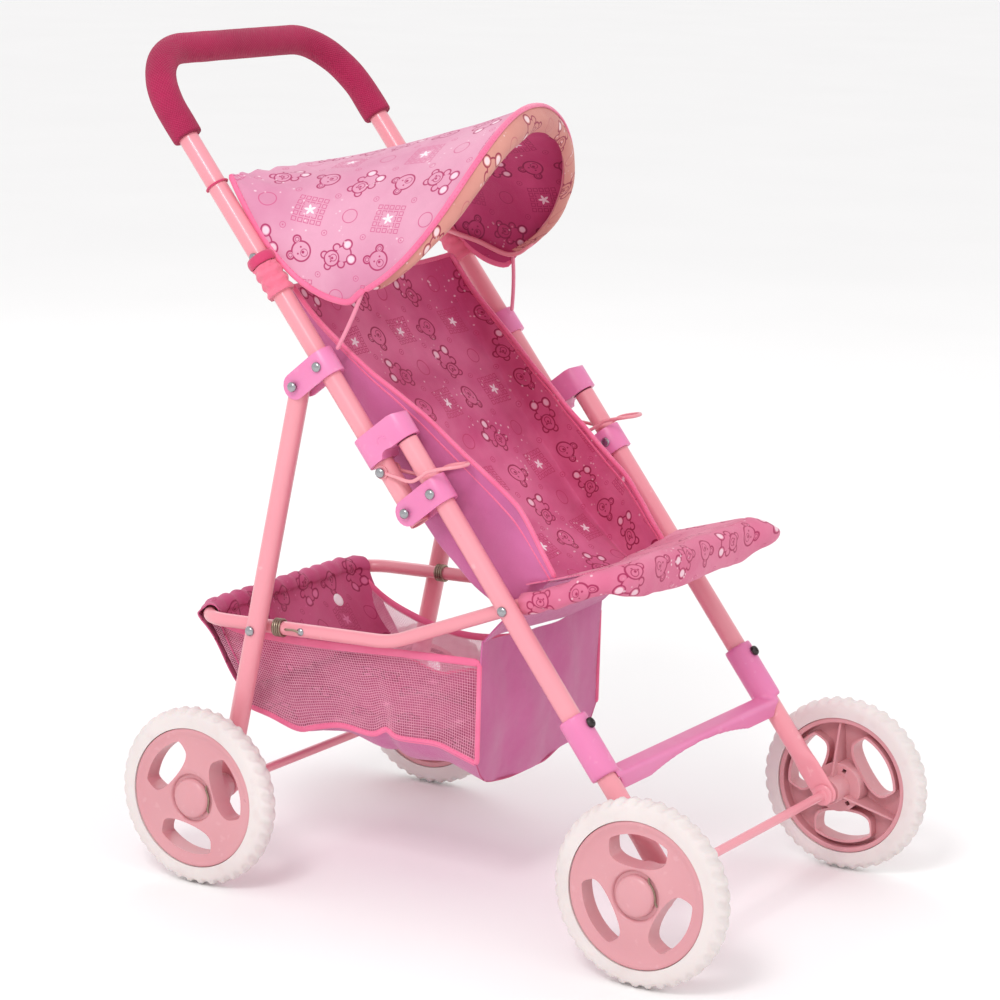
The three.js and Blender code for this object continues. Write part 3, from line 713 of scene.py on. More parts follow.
def open_end(radius, depth=0.012):
    """Rings from inside a tube's bore, round its lip and on to its outside."""
    inner = radius - WALL
    return [(depth, inner), (LIP, inner), (0, inner + LIP), (0, radius - LIP), (LIP, radius)]


def both_ends(end, middle, length):
    """The rings of an end, of the middle, and of the same end turned round."""
    return [*end, *middle, *((length - s, radius) for s, radius in reversed(end))]


def tube(name, path, radius, sides=28, depth=0.012):
    """A tube whose bore shows at both ends."""
    middle = [(s, radius) for s in steps(2 * LIP, path.length - 2 * LIP, 0.004)]
    return sweep(name, path, both_ends(open_end(radius, depth), middle, path.length), sides)


def wire(name, points, radius, sides=10, step=0.0015):
    """A round wire or cord along points, with rounded ends."""
    path = Path(points)
    cap = [(radius * (1 - math.cos(a)), radius * math.sin(a)) for a in (0.35, 0.8, 1.2)]
    middle = [(s, radius) for s in steps(radius, path.length - radius, step)]
    return sweep(name, path, both_ends(cap, middle, path.length), sides)


def curve_through(points, samples=8):
    """A smooth line through points, by Catmull and Rom's rule."""
    last = len(points) - 1
    line = []
    for i in range(last):
        a, b, c, d = (points[min(max(i + k, 0), last)] for k in (-1, 0, 1, 2))
        for k in range(samples):
            t = k / samples
            bend = (a * 2 - b * 5 + c * 4 - d) * t * t
            twist = (b * 3 - a - c * 3 + d) * t * t * t
            line.append((b * 2 + (c - a) * t + bend + twist) * 0.5)
    line.append(points[-1].copy())
    return line


def rounded(corners, pieces=14):
    """A polyline with arcs at its corners, given as (point, radius)."""
    line = [corners[0][0]]
    for (before, _), (corner, radius), (after, _) in zip(corners, corners[1:], corners[2:]):
        back = (before - corner).normalized()
        ahead = (after - corner).normalized()
        half = back.angle(ahead) / 2
        cut_back = radius / math.tan(half)
        centre = corner + (back + ahead).normalized() * (radius / math.sin(half))
        start = corner + back * cut_back - centre
        end = corner + ahead * cut_back - centre
        full = start.angle(end)
        for t in shares(pieces):
            arc = start * math.sin((1 - t) * full) + end * math.sin(t * full)
            line.append(centre + arc / math.sin(full))
    line.append(corners[-1][0])
    return line


def both_sides(half):
    """The corners of one side, and the same ones mirrored in turn."""
    return [*half, *((mirrored(point), radius) for point, radius in reversed(half))]


def revolve(name, profile, segments, centre, axis):
    """Turns a profile of (radius, distance along the axis) about the axis."""
    spare = Vector((0, 0, 1)) if abs(axis.z) < 0.9 else Vector((0, 1, 0))
    first = axis.cross(spare).normalized()
    second = axis.cross(first)
    smallest = 1e-5
    rows = []
    for radius, place in profile:
        reach = max(radius, smallest)
        middle = centre + axis * place
        rows.append([middle + turned(first, second, angle) * reach for angle in circle(segments)])
    piece = grid(name, rows, closed=True)
    if (rows[0][0] - rows[-1][0]).length > 1e-6:
        fill_rings(piece, segments, len(rows))
    else:
        face_out(piece)
    return piece


def bake(piece):
    """Applies the piece's modifiers."""
    graph = bpy.context.evaluated_depsgraph_get()
    graph.update()
    mesh = bpy.data.meshes.new_from_object(piece.evaluated_get(graph))
    piece.modifiers.clear()
    piece.data = mesh
    return piece


def join(name, pieces):
    """One piece from several, their materials kept."""
    work = bmesh.new()
    materials = []
    for piece in pieces:
        start = len(work.faces)
        work.from_mesh(piece.data)
        own = list(piece.data.materials)
        for material in own:
            if material not in materials:
                materials.append(material)
        work.faces.ensure_lookup_table()
        for face in work.faces[start:]:
            if own:
                face.material_index = materials.index(own[min(face.material_index, len(own) - 1)])
    mesh = bpy.data.meshes.new(name)
    work.to_mesh(mesh)
    work.free()
    for material in materials:
        mesh.materials.append(material)
    for piece in pieces:
        bpy.data.objects.remove(piece)
    return new_object(name, mesh)


def thicken(piece, thickness, inner=None, offset=-1.0):
    """Gives a sheet its thickness. The inner side can have a second material."""
    solid = piece.modifiers.new("thickness", "SOLIDIFY")
    solid.thickness = thickness
    solid.offset = offset
    if inner is not None:
        piece.data.materials.append(inner)
        solid.material_offset = 1
    return bake(piece)


def bevel(piece, width, segments, angle):
    """Rounds the edges that turn by more than an angle in degrees."""
    edge = piece.modifiers.new("edge", "BEVEL")
    edge.width = width
    edge.segments = segments
    edge.limit_method = "ANGLE"
    edge.angle_limit = math.radians(angle)
    return bake(piece)


def cad_copy(node):
    piece = new_object(f"{node}_shape", frame["nodes"][node].data.copy())
    piece.data.materials.clear()
    return piece


def moulded_round(node, body, material, slot):
    """A CAD node's shape with every corner filleted, inner ones too."""
    piece = cad_copy(node)
    fine = piece.modifiers.new("fine", "REMESH")
    fine.mode = "VOXEL"
    fine.voxel_size = 0.0009
    fillet = piece.modifiers.new("fillet", "CORRECTIVE_SMOOTH")
    fillet.iterations = 14
    fillet.factor = 0.6
    fillet.use_only_smooth = True
    bake(piece)
    return finish_piece(piece, body, material, node, slot=slot, smooth=75)


def refined(node, body, material, width, slot):
    """A CAD node's shape with its edges rounded."""
    piece = cad_copy(node)
    with editing(piece.data) as work:
        bmesh.ops.remove_doubles(work, verts=work.verts, dist=0.00002)
        flat = math.radians(1)
        bmesh.ops.dissolve_limit(work, angle_limit=flat, verts=work.verts, edges=work.edges)
    bevel(piece, width, 3, 40)
    return finish_piece(piece, body, material, node, slot=slot, smooth=32)


# ---------------------------------------------------------------- camera, light and floor

CAMERA_PLACE = Vector((-1.7740, -1.0659, 0.6909))
CAMERA_AZIMUTH = math.radians(-58.80)
CAMERA_ELEVATION = math.radians(11.89)
CAMERA_ROLL = math.radians(1.61)
WORLD_LIGHT = 0.96

# Each lamp's name, place, size and power.
LAMPS = (
    ("key", (-1.7, -0.3, 1.8), 0.6, 17),
    ("front_fill", (-0.6, -2.2, 1.0), 1.2, 2),
    ("rim", (1.4, 1.3, 1.6), 1.0, 4),
)


def make_camera():
    lens = bpy.data.cameras.new("camera")
    lens.lens = 117.5
    lens.sensor_width = 36
    lens.shift_x = -0.0061
    lens.shift_y = -0.0058
    camera = bpy.data.objects.new("camera", lens)
    bpy.context.scene.collection.objects.link(camera)
    a, e, r = CAMERA_AZIMUTH, CAMERA_ELEVATION, CAMERA_ROLL
    back = Vector((math.sin(a) * math.cos(e), -math.cos(a) * math.cos(e), math.sin(e)))
    level = Vector((math.cos(a), math.sin(a), 0))
    upright = back.cross(level)
    right = level * math.cos(r) + upright * math.sin(r)
    up = upright * math.cos(r) - level * math.sin(r)
    turn = Matrix((right, up, back)).transposed().to_4x4()
    camera.matrix_world = Matrix.Translation(CAMERA_PLACE) @ turn
    bpy.context.scene.camera = camera


def make_light():
    world = bpy.data.worlds.new("studio")
    world.use_nodes = True
    background = world.node_tree.nodes["Background"]
    background.inputs["Color"].default_value = (1, 1, 1, 1)
    background.inputs["Strength"].default_value = WORLD_LIGHT
    bpy.context.scene.world = world
    bpy.context.scene.view_settings.view_transform = "Standard"
    target = Vector((0, 0, 0.27))
    for name, place, size, power in LAMPS:
        lamp = bpy.data.lights.new(name, "AREA")
        lamp.energy = power
        lamp.size = size
        lamp_object = bpy.data.objects.new(name, lamp)
        lamp_object.location = place
        lamp_object.rotation_euler = (target - Vector(place)).to_track_quat("-Z", "Y").to_euler()
        bpy.context.scene.collection.objects.link(lamp_object)


def make_floor():
    reach = 30
    mesh = bpy.data.meshes.new("floor")
    corners = [(-reach, -reach, 0), (reach, -reach, 0), (reach, reach, 0), (-reach, reach, 0)]
    mesh.from_pydata(corners, [], [(0, 1, 2, 3)])
    floor = new_object("floor", mesh)
    paper = Shader("floor_paper", 0.9)
    paper.colour(paper.mixed(paper.noise(3, 2), srgb(252, 251, 251), srgb(248, 247, 247)))
    paper.bump(paper.noise(300, 2), 0.00005)
    mesh.materials.append(paper.material)


make_camera()
make_light()
make_floor()

# ---------------------------------------------------------------- handle, grip, legs, rods


def handle_line(start):
    """The handle's bent line, from one free end up, over and down to the other."""
    top = on_handle(HANDLE_TOP)
    low = on_handle(start)
    half = [(at(SIDE_X, low), 0), (at(SIDE_X, top), HANDLE_BEND)]
    return rounded(both_sides(half), 20)


def make_handle():
    bar = tube("handle_bar", Path(handle_line(HANDLE_BOTTOM)), TUBE)
    finish_piece(bar, "handle_frame", PAINT, "handle_tube", slot="pink_paint")
    path = Path(handle_line(GRIP_START))
    end = [(0.0002, TUBE + 0.0002), (0, GRIP - 0.0016), (0.0006, GRIP - 0.0004)]
    middle = []
    for s in steps(0.0016, path.length - 0.0016, 0.002):
        middle.append((s, GRIP + 0.00025 * noise(Vector((s * 60, 0, 0)))))
    grip = sweep("grip_sleeve", path, both_ends(end, middle, path.length), 40)
    finish_piece(grip, "handle_frame", FOAM, "foam_grip", slot="grip_foam", smooth=60)


def make_leg(end, side, sign, top):
    """A tube whose lower end is pressed flat and rounded off round the axle."""
    axle = AXLE[end]
    tab_half = 0.0025
    tab_width = 0.008
    press_start = 0.034
    press_end = 0.02
    x = sign * SIDE_X
    path = Path([at(x, top), at(x, towards(axle, top, -tab_width))])
    centre = path.length - tab_width
    rings = open_end(TUBE)
    rings += [(s, TUBE) for s in steps(0.004, centre - press_start, 0.01)]
    for s in steps(centre - press_start + 0.0015, centre - press_end, 0.0015):
        t = smooth((s - centre + press_start) / (press_start - press_end))
        rings.append((s, mix(TUBE, tab_half, t), mix(TUBE, tab_width, t)))
    rings.append((centre, tab_half, tab_width))
    for t in shares(9)[1:-1]:
        rings.append((centre + tab_width * t, tab_half, tab_width * math.sqrt(1 - t * t)))
    piece = sweep(f"{end}_leg_tube_{side}", path, rings, 32)
    finish_piece(piece, f"{end}_frame", PAINT, f"{end}_leg_{side}", slot="pink_paint")


def make_cross_rod(end):
    """A thin rod between the legs, with a flat head against each."""
    outer = SIDE_X - 0.0028
    disc = 0.007
    path = Path([at(-outer, AXLE[end]), at(outer, AXLE[end])], Vector((0, 0, 1)))
    head = [(0, disc - 0.0005), (0.0005, disc), (0.0016, disc), (0.0021, disc - 0.0005)]
    head += [(0.0024, ROD + 0.0008), (0.0032, ROD + 0.0001)]
    middle = [(s, ROD) for s in steps(0.004, path.length - 0.004, 0.01)]
    piece = sweep(f"{end}_rod", path, both_ends(head, middle, path.length), 24)
    finish_piece(piece, f"{end}_frame", PAINT, f"{end}_cross_rod", slot="pink_paint")


DOWN_REAR_LEG = 166.9 * MM
BEHIND_REAR_LEG = 58 * MM
AHEAD_OF_FRONT_LEG = 73 * MM
FRONT_BEND = 24 * MM
REAR_SEAT_PIVOT = towards(REAR_LEG_PIVOT, AXLE["rear"], DOWN_REAR_LEG)
SEAT_BEND = Vector((0, 0.032, REAR_SEAT_PIVOT.z + 0.004))
SEAT_REAR = towards(REAR_SEAT_PIVOT, SEAT_BEND, -BEHIND_REAR_LEG)
SEAT_FRONT = towards(SEAT_PIVOT, SEAT_BEND, -AHEAD_OF_FRONT_LEG)


def make_seat_frame():
    """The bent bar that carries the calf rest and the basket."""
    half = [
        (at(0.0004, SEAT_REAR), 0),
        (at(SEAT_BAR_X, SEAT_REAR), 0.026),
        (at(SEAT_BAR_X, SEAT_BEND), 0.06),
        (at(SEAT_BAR_X, SEAT_FRONT), FRONT_BEND),
    ]
    path = Path(rounded(both_sides(half)), Vector((0, 0, 1)))
    loop = tube("seat_loop_bar", path, SEAT_BAR, sides=22, depth=0.004)
    finish_piece(loop, "seat_loop", PAINT, "seat_frame", slot="pink_paint")


def make_collar(side, sign):
    """Turns of spring wire round the seat bar, with a tail to a small rivet ahead of them."""
    middle = at(sign * SEAT_BAR_X, towards(REAR_SEAT_PIVOT, SEAT_BEND, 0.011))
    along = (SEAT_BEND - REAR_SEAT_PIVOT).normalized()
    first = Vector((1, 0, 0))
    second = along.cross(first)
    outer = first * sign
    wire_radius = 0.0008
    coil_radius = SEAT_BAR + wire_radius + 0.0001
    turns = 4
    tail_end = 0.019
    points = []
    for t in shares(turns * 20):
        spot = middle + along * (t - 0.5) * turns * wire_radius * 2.1
        points.append(spot + turned(first, second, t * turns * math.tau) * coil_radius)
    tail = middle + outer * (coil_radius + 0.0003)
    for ahead, up in ((0.008, 0.0006), (0.014, 0.001), (tail_end, 0)):
        points.append(tail + along * ahead + second * up)
    coil = wire(f"spring_{side}", points, wire_radius, sides=8, step=0.0012)
    finish_piece(coil, "seat_loop", WIRE_STEEL, f"spring_collar_{side}", slot="steel_fastener")
    foot = middle + along * tail_end + outer * SEAT_BAR * 0.8
    knob = [(0, 0), (0.0024, 0), (0.0026, 0.0012), (0.0018, 0.0022), (0.0006, 0.0026), (0, 0.0027)]
    pin = revolve(f"spring_pin_{side}", knob, 18, foot, outer)
    finish_piece(pin, "seat_loop", RIVET_STEEL, slot="steel_fastener")


make_handle()
for side_name, side_sign in SIDES:
    front_top = towards(LEG_RIVET, AXLE["front"], -LEG_ABOVE_RIVET)
    rear_top = towards(REAR_LEG_PIVOT, AXLE["rear"], -0.007)
    make_leg("front", side_name, side_sign, front_top)
    make_leg("rear", side_name, side_sign, rear_top)
    make_collar(side_name, side_sign)
for rod_end in ENDS:
    make_cross_rod(rod_end)
make_seat_frame()

# ---------------------------------------------------------------- brackets, locks, footrest, rivets

for side_name, _ in SIDES:
    for node, body, width in (
        ("upper_bracket", "handle_frame", 0.0008),
        ("lower_bracket", "front_frame", 0.0008),
        ("lock_sleeve", f"lock_{side_name}", 0.0009),
    ):
        refined(f"{node}_{side_name}", body, PINK_PLASTIC, width, "pink_plastic")
moulded_round("footrest", "front_frame", PINK_PLASTIC, "pink_plastic")


def make_rivet(node, body):
    """A domed rivet with a rolled tail, its ends where the CAD's are."""
    low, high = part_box(node)
    middle = (low + high) / 2
    outwards = middle.x > 0
    start = at(low.x if outwards else high.x, middle)
    length = high.x - low.x
    shank, head, dome, rim = 0.0019, 0.0033, 0.0022, 0.0003
    profile = [(0, 0), (0.0014, 0.0001), (0.0026, 0.0006), (0.0031, 0.0014), (shank, 0.0018)]
    if node.startswith("seat_rear"):
        profile = [(0, 0), (shank, 0)]
    profile.append((shank, length - dome - 0.0002))
    profile.append((head, length - dome))
    for i in range(8):
        angle = i * math.pi / 16
        place = length - dome + rim + (dome - rim) * math.sin(angle)
        profile.append((head * math.cos(angle), place))
    profile.append((0, length))
    out = Vector((1 if outwards else -1, 0, 0))
    piece = revolve(f"{node}_steel", profile, 24, start, out)
    finish_piece(piece, body, RIVET_STEEL, node, slot="steel_fastener", smooth=35)


def make_bolt(node, body):
    """A dark pan-headed bolt with a recess, square to the clamp."""
    leg = (AXLE["front"] - LEG_RIVET).normalized()
    out = Vector((0, leg.z, -leg.y))
    if out.y > 0:
        out = -out
    profile = [(0.003, -0.0012), (0.0034, -0.001), (0.0034, 0), (0.0029, 0.0008)]
    profile += [(0.0016, 0.0011), (0.0012, 0.0004), (0, 0.0003)]
    piece = revolve(f"{node}_steel", profile, 20, centre_of(node), out)
    finish_piece(piece, body, BOLT_STEEL, node, slot="steel_fastener")


for owner, node_names in frame["record"]["behaviour"]["bodies"].items():
    for node_name in node_names:
        if "rivet" in node_name:
            make_rivet(node_name, owner)
        if "bolt" in node_name:
            make_bolt(node_name, owner)


def make_thumb_mark(side, sign):
    """A raised half moon on the lock sleeve's outer face, to push it by."""
    low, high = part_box(f"lock_sleeve_{side}")
    face = high.x if sign > 0 else low.x
    x = face - sign * 0.0001
    radius = 3.4
    arc = []
    for t in shares(12):
        angle = math.pi * t
        arc.append(on_handle(45 + radius * math.sin(angle), -13 + radius * math.cos(angle), x))
    mark = wire(f"thumb_mark_{side}", arc, 0.0005, sides=8)
    finish_piece(mark, f"lock_{side}", PINK_PLASTIC, slot="pink_plastic")


def eye(bore, reach, thickness, chamfer, centre, way):
    """A flat ring round a pin, standing out from its centre along X."""
    edge = 0.0004
    ring = [(bore, 0), (reach - chamfer, 0), (reach, edge)]
    ring += [(reach, thickness - edge), (reach - chamfer, thickness), (bore, thickness), (bore, 0)]
    return revolve("eye", ring, 24, centre, Vector((way, 0, 0)))


def make_bail(side, sign):
    """A wire loop pinned to the handle on both sides, closed in front of the leg."""
    x = sign * SIDE_X
    arm, hole = 0.011, 0.008
    route = [(30, 0, hole), (26, -4, hole), (22, -8, hole + 0.0006), (13, -18, arm)]
    route += [(11.5, -32, arm), (6, -45, arm - 0.001), (3.5, -49.5, arm - 0.006)]
    half = [on_handle(along, behind, x + out) for along, behind, out in route]
    other = [on_handle(along, behind, x - out) for along, behind, out in reversed(route)]
    line = curve_through([*half, on_handle(3, -50.5, x), *other], 8)
    pieces = [wire(f"bail_wire_{side}", line, 0.0012, sides=12)]
    for way in (1, -1):
        start = on_handle(30, 0, x + way * (TUBE + 0.0003))
        pieces.append(eye(0.0024, 0.0044, 0.0014, 0.0002, start, way))
    bail = join(f"bail_loop_{side}", pieces)
    finish_piece(bail, f"bail_{side}", PAINT, f"safety_bail_{side}", slot="pink_paint")


for side_name, side_sign in SIDES:
    make_bail(side_name, side_sign)
    make_thumb_mark(side_name, side_sign)

# ---------------------------------------------------------------- wheels

WHEEL_TURN = {"front_right": 90, "rear_right": 40, "front_left": 25, "rear_left": 70}
LUGS = 40
OUTWARDS = Vector((1, 0, 0))
HERE = Vector((0, 0, 0))


def mesh_of(piece, material):
    """The mesh of a piece that is wanted only for its shape, in one material."""
    mesh = piece.data
    bpy.data.objects.remove(piece)
    mesh.materials.clear()
    mesh.materials.append(material)
    return mesh


def round_x(x, radius, angle):
    """A point at a distance from the X axis."""
    return Vector((x, radius * math.cos(angle), radius * math.sin(angle)))


def tyre_mesh():
    """A foamed tyre about the X axis, with slanted lugs over its tread and shoulders."""
    foot, rise, half_width = 0.0462, 0.0128, 0.0082
    lug_depth = 0.0016
    section = []
    for t in shares(24):
        angle = math.pi * t
        section.append((foot + rise * math.sin(angle) ** 0.62, half_width * math.cos(angle)))
    rows = []
    for turn in circle(320):
        row = []
        for radius, out in section:
            shoulder = min(1.0, max(0.0, (radius - 0.0545) / 0.003))
            slant = turn + abs(out) * 9
            groove = 0.5 - 0.5 * math.tanh(math.sin(slant * LUGS) * 2.6)
            centre_line = math.exp(-((out / 0.0013) ** 2)) * 0.4
            depth = lug_depth * shoulder * max(groove, centre_line)
            row.append(round_x(out, radius - depth, turn))
        row.append(round_x(0, foot - 0.0001, turn))
        rows.append(row)
    piece = grid("tyre", [*rows, rows[0]], closed=True)
    with editing(piece.data) as work:
        bmesh.ops.remove_doubles(work, verts=work.verts, dist=0.000001)
        bmesh.ops.recalc_face_normals(work, faces=work.faces)
    return mesh_of(piece, TYRE)


def window_line(grow=0.0):
    """One opening of the hub in the plane of the wheel: straight by the cap, round by the rim.

    Its corners are cut off again and again, which rounds them.
    """
    inner, outer, half = 0.0178 - grow, 0.0378 + grow, 0.0182 + grow
    spread = math.radians(33)
    line = [Vector((0, inner, -half)), Vector((0, inner, half))]
    line += [round_x(0, outer, spread * (1 - i / 5)) for i in range(11)]
    for _ in range(3):
        cut = []
        for start, end in zip(line, [*line[1:], line[0]]):
            cut += [start.lerp(end, 0.25), start.lerp(end, 0.75)]
        line = cut
    return line


def prism(name, rows):
    """A solid between two outlines."""
    piece = grid(name, rows, closed=True)
    fill_rings(piece, len(rows[0]), 2)
    return piece


def across_wheel(name, turn, line, low, high):
    """A solid with an outline in the plane of the wheel, turned into its place."""
    shift = [Vector((x, 0, 0)) for x in (low, high)]
    return prism(name, [[turn @ point + x for point in line] for x in shift])


def cut_by(piece, cutters, operation="DIFFERENCE"):
    """Cuts other pieces out of a piece, or joins them to it, and uses them up."""
    for cutter in cutters:
        boolean = piece.modifiers.new("cut", "BOOLEAN")
        boolean.operation = operation
        boolean.solver = "EXACT"
        boolean.object = cutter
    bake(piece)
    for cutter in cutters:
        bpy.data.objects.remove(cutter)


def looped(points):
    return [*points, points[0]]


def hub_mesh():
    """The moulded hub about the X axis: face, deep openings, ribs and boss."""
    bore = (0.0034, -0.0278)
    behind = [bore, (0.0082, -0.0278), (0.0086, -0.0272), (0.0098, 0.0012), (0.012, 0.0018)]
    behind += [(0.0415, 0.0014), (0.0425, 0.0004), (0.0427, -0.0066), (0.0432, -0.007)]
    rim = [(0.0456, -0.007), (0.046, -0.0066), (0.046, 0.0066), (0.0456, 0.0073), (0.0446, 0.0077)]
    rim += [(0.0432, 0.0075), (0.0418, 0.0068), (0.0395, 0.0062)]
    dome = [(0.034, 0.0067), (0.027, 0.0076), (0.02, 0.0083), (0.0168, 0.0083), (0.0159, 0.0077)]
    recess = [(0.0152, 0.0062), (0.0034, 0.0062)]
    body = revolve("hub", looped([*behind, *rim, *dome, *recess]), 96, HERE, OUTWARDS)
    thirds = [Matrix.Rotation(angle, 4, "X") for angle in circle(3)]
    between = Matrix.Rotation(math.pi / 3, 4, "X")
    added = [across_wheel("wall", turn, window_line(0.0018), -0.0062, 0.0035) for turn in thirds]
    for turn in thirds:
        outline_points = [(0.009, -0.02), (0.0425, -0.0045), (0.0425, 0.0025), (0.009, 0.0025)]
        rows = []
        for z in (-0.0007, 0.0007):
            rows.append([turn @ between @ Vector((x, radius, z)) for radius, x in outline_points])
        added.append(prism("rib", rows))
    boss = [(0.006, -0.0125), (0.0162, -0.0125), (0.0166, -0.012), (0.0166, 0.002), (0.006, 0.002)]
    added.append(revolve("flange", looped(boss), 64, HERE, OUTWARDS))
    cut_by(body, added, "UNION")
    openings = [across_wheel("window", turn, window_line(), -0.02, 0.02) for turn in thirds]
    for turn in thirds:
        spoke = turn @ Matrix.Rotation(math.pi / 3 + 0.45, 4, "X")
        square = [(0.0112, -0.0014), (0.014, -0.0014), (0.014, 0.0014), (0.0112, 0.0014)]
        line = [Vector((0, radius, z)) for radius, z in square]
        openings.append(across_wheel("hole", spoke, line, -0.014, -0.006))
    cut_by(body, openings)
    bevel(body, 0.0012, 4, 50)
    return mesh_of(body, HUB_PLASTIC)


def cap_profile():
    radius = 0.0127
    pin = 0.003
    profile = [(0, -0.0323), (pin, -0.0323), (pin, 0.0066), (0.0128, 0.0066), (0.013, 0.007)]
    profile += [(0.013, 0.0084)]
    for i in range(10):
        angle = i * math.pi / 20
        profile.append((radius * math.cos(angle), 0.0088 + 0.0038 * math.sin(angle)))
    profile.append((0, 0.0127))
    return profile


def make_wheel(end, side, sign):
    """A tyre and hub that turn together, and the cap and clip that stay on the axle."""
    place = f"{end}_{side}"
    body = f"wheel_{place}"
    out = OUTWARDS * sign
    centre = at(sign * WHEEL_X, AXLE[end])
    facing = Matrix.Scale(sign, 4, OUTWARDS)
    spin = Matrix.Rotation(math.radians(WHEEL_TURN[place]), 4, "X")
    for kind, source, node, slot in (
        ("tyre_tread", TYRE_MESH, f"tyre_{place}", "tyre"),
        ("hub_moulding", HUB_MESH, f"hub_{place}", "hub_plastic"),
    ):
        wheel = new_object(f"{kind}_{place}", source.copy())
        wheel.data.transform(Matrix.Translation(centre) @ facing @ spin)
        face_out(wheel)
        finish_piece(wheel, body, None, node, slot=slot, smooth=38)
    cap = revolve(f"cap_{place}", cap_profile(), 48, centre, out)
    finish_piece(cap, f"{end}_frame", HUB_PLASTIC, f"axle_cap_{place}", slot="hub_plastic")
    clip = []
    for i in range(9):
        angle = math.radians(150 + i * 9 - WHEEL_TURN[place] * 0.3)
        reach = 0.0135 + (0.0022 if i in (0, 8) else 0)
        clip.append(centre + round_x(sign * 0.0078, reach, angle))
    spring = wire(f"axle_clip_{place}", curve_through(clip, 3), 0.0006, sides=8)
    finish_piece(spring, f"{end}_frame", WIRE_STEEL, slot="steel_fastener")


TYRE_MESH = tyre_mesh()
HUB_MESH = hub_mesh()
for wheel_end in ENDS:
    for side_name, side_sign in SIDES:
        make_wheel(wheel_end, side_name, side_sign)

# ---------------------------------------------------------------- canopy

CANOPY_HALF = 0.108
CANOPY_REAR = on_handle(244, -12.5)
CANOPY_CORNER = Vector((0, 0.0535, 0.3885))
CANOPY_CONTROL = Vector((0, 0.110, 0.374))
CANOPY_APEX = Vector((0, -0.002, 0.507))
ARCH = [math.pi * t for t in shares(96)]


def canopy_edge(t):
    """The lower edge in the side view, from the handle to the front corner."""
    return CANOPY_REAR * (1 - t) ** 2 + CANOPY_CONTROL * 2 * t * (1 - t) + CANOPY_CORNER * t * t


def canopy_point(t, turn, inset=0.0):
    """A point of the canopy: t runs from rear to front, turn from one edge over to the other."""
    rise = math.sin(turn)
    lean = 1 - (1 - rise) ** 2.2
    low = canopy_edge(t)
    corner = smooth((t - 0.85) / 0.15) * (1 - rise) ** 4
    low += Vector((0, 0.004, 0.007)) * corner
    top = CANOPY_REAR.lerp(CANOPY_APEX, t)
    sag = 0.004 * math.sin(math.pi * t) * rise
    width = CANOPY_HALF - inset - 0.003 * math.sin(math.pi * t) * (1 - rise)
    slack = t * t * (0.008 * smooth(0.35 - math.cos(turn)) - 0.013 * smooth(math.cos(turn)))
    y = mix(low.y, top.y, lean) - slack
    z = mix(low.z, top.z - inset, rise) - sag
    return Vector((width * math.cos(turn), y, z))


def creased_canopy(t, turn):
    """The canopy's cloth, creased most along its rear edge."""
    point = canopy_point(t, turn)
    loose = math.sin(math.pi * min(1, t * 1.05)) ** 0.7
    creases = math.sin(turn * 23 + 3 * math.sin(t * 5)) * math.exp(-((t / 0.22) ** 2))
    crease = Vector((0, 0, -0.0014 * creases * math.sin(turn)))
    return point + ripple(point, 22, 0.0024 * loose) + crease


def facing_point(t, turn):
    """The facing, from the front edge in towards the arch's middle."""
    edge = canopy_point(1, turn)
    middle = Vector((0, edge.y + 0.02, 0.425))
    inward = (middle - edge).normalized()
    width = 0.0115 + 0.006 * math.sin(turn) + 0.001 * math.cos(turn)
    ahead = 0.009 * math.sin(t * 2.4)
    point = edge + inward * (t * width + 0.0004) - Vector((0, ahead, 0))
    return point + ripple(point, 45, 0.0016 * t)


def round_the_arch(point):
    """Where a point of the canopy lies on its flat cut: round the arch, and from front to rear."""
    return (CANOPY_HALF * math.atan2(point.z - 0.35, point.x) * 1.3, point.y)


def strip(name, rows, thickness, material, inner, lay=None):
    """A sheet of cloth with its thickness, its outer material and its inner one."""
    piece = grid(name, rows, lay=lay)
    piece.data.materials.append(material)
    return thicken(piece, thickness, inner)


def follow_canopy(piece):
    """Bakes the cloth's placement into its mesh."""
    end = canopy_point(0.75, math.pi / 2)
    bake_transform(piece)


def trim(name, line, body, slot, radius=0.0016, material=BINDING, flat=0.6):
    """A bound edge: a rounded tape folded over the cloth along a line.

    Its half width is the radius, and flat is its thickness as a share of that. With a function
    in place of a body's name, the function is called with the piece.
    """
    path = Path(line)
    wide = radius * flat
    rings = [(0, wide * 0.5, radius * 0.5)]
    rings += [(s, wide, radius) for s in steps(radius, path.length - radius, 0.003)]
    rings += [(path.length, wide * 0.5, radius * 0.5)]
    piece = sweep(name, path, rings, 12)
    finish_piece(piece, None if callable(body) else body, material, slot=slot)
    if callable(body):
        body(piece)


def make_canopy():
    rows = [[creased_canopy(t, turn) for turn in ARCH] for t in shares(40)]
    # The underside takes the darker print: painted shade and painted light shining through.
    cloth = strip("canopy_cloth", rows, 0.0008, CANOPY_PRINT, SHADED_UNDERSIDE_PRINT, round_the_arch)
    finish_piece(cloth, None, None, "canopy_fabric", slot="canopy_cloth", smooth=60)
    follow_canopy(cloth)
    rows = [[facing_point(t, turn) for turn in ARCH] for t in shares(12)]
    facing = strip("canopy_facing", rows, 0.0008, FACING_PRINT, SHADED_UNDERSIDE_PRINT)
    finish_piece(facing, "canopy", None, slot="canopy_cloth", smooth=60)


def trim_canopy():
    front = [canopy_point(1, turn) for turn in ARCH]
    trim("canopy_front_piping", front, "canopy", "canopy_cloth", 0.0019)
    for side, turn in (("left", 0), ("right", math.pi)):
        lower = [canopy_point(t, turn) for t in shares(40)]
        trim(f"canopy_side_piping_{side}", lower, follow_canopy, "canopy_cloth", 0.0021)
    rear = [canopy_point(0, turn) for turn in ARCH]
    trim("canopy_rear_binding", rear, "handle_frame", "canopy_cloth", 0.0018)


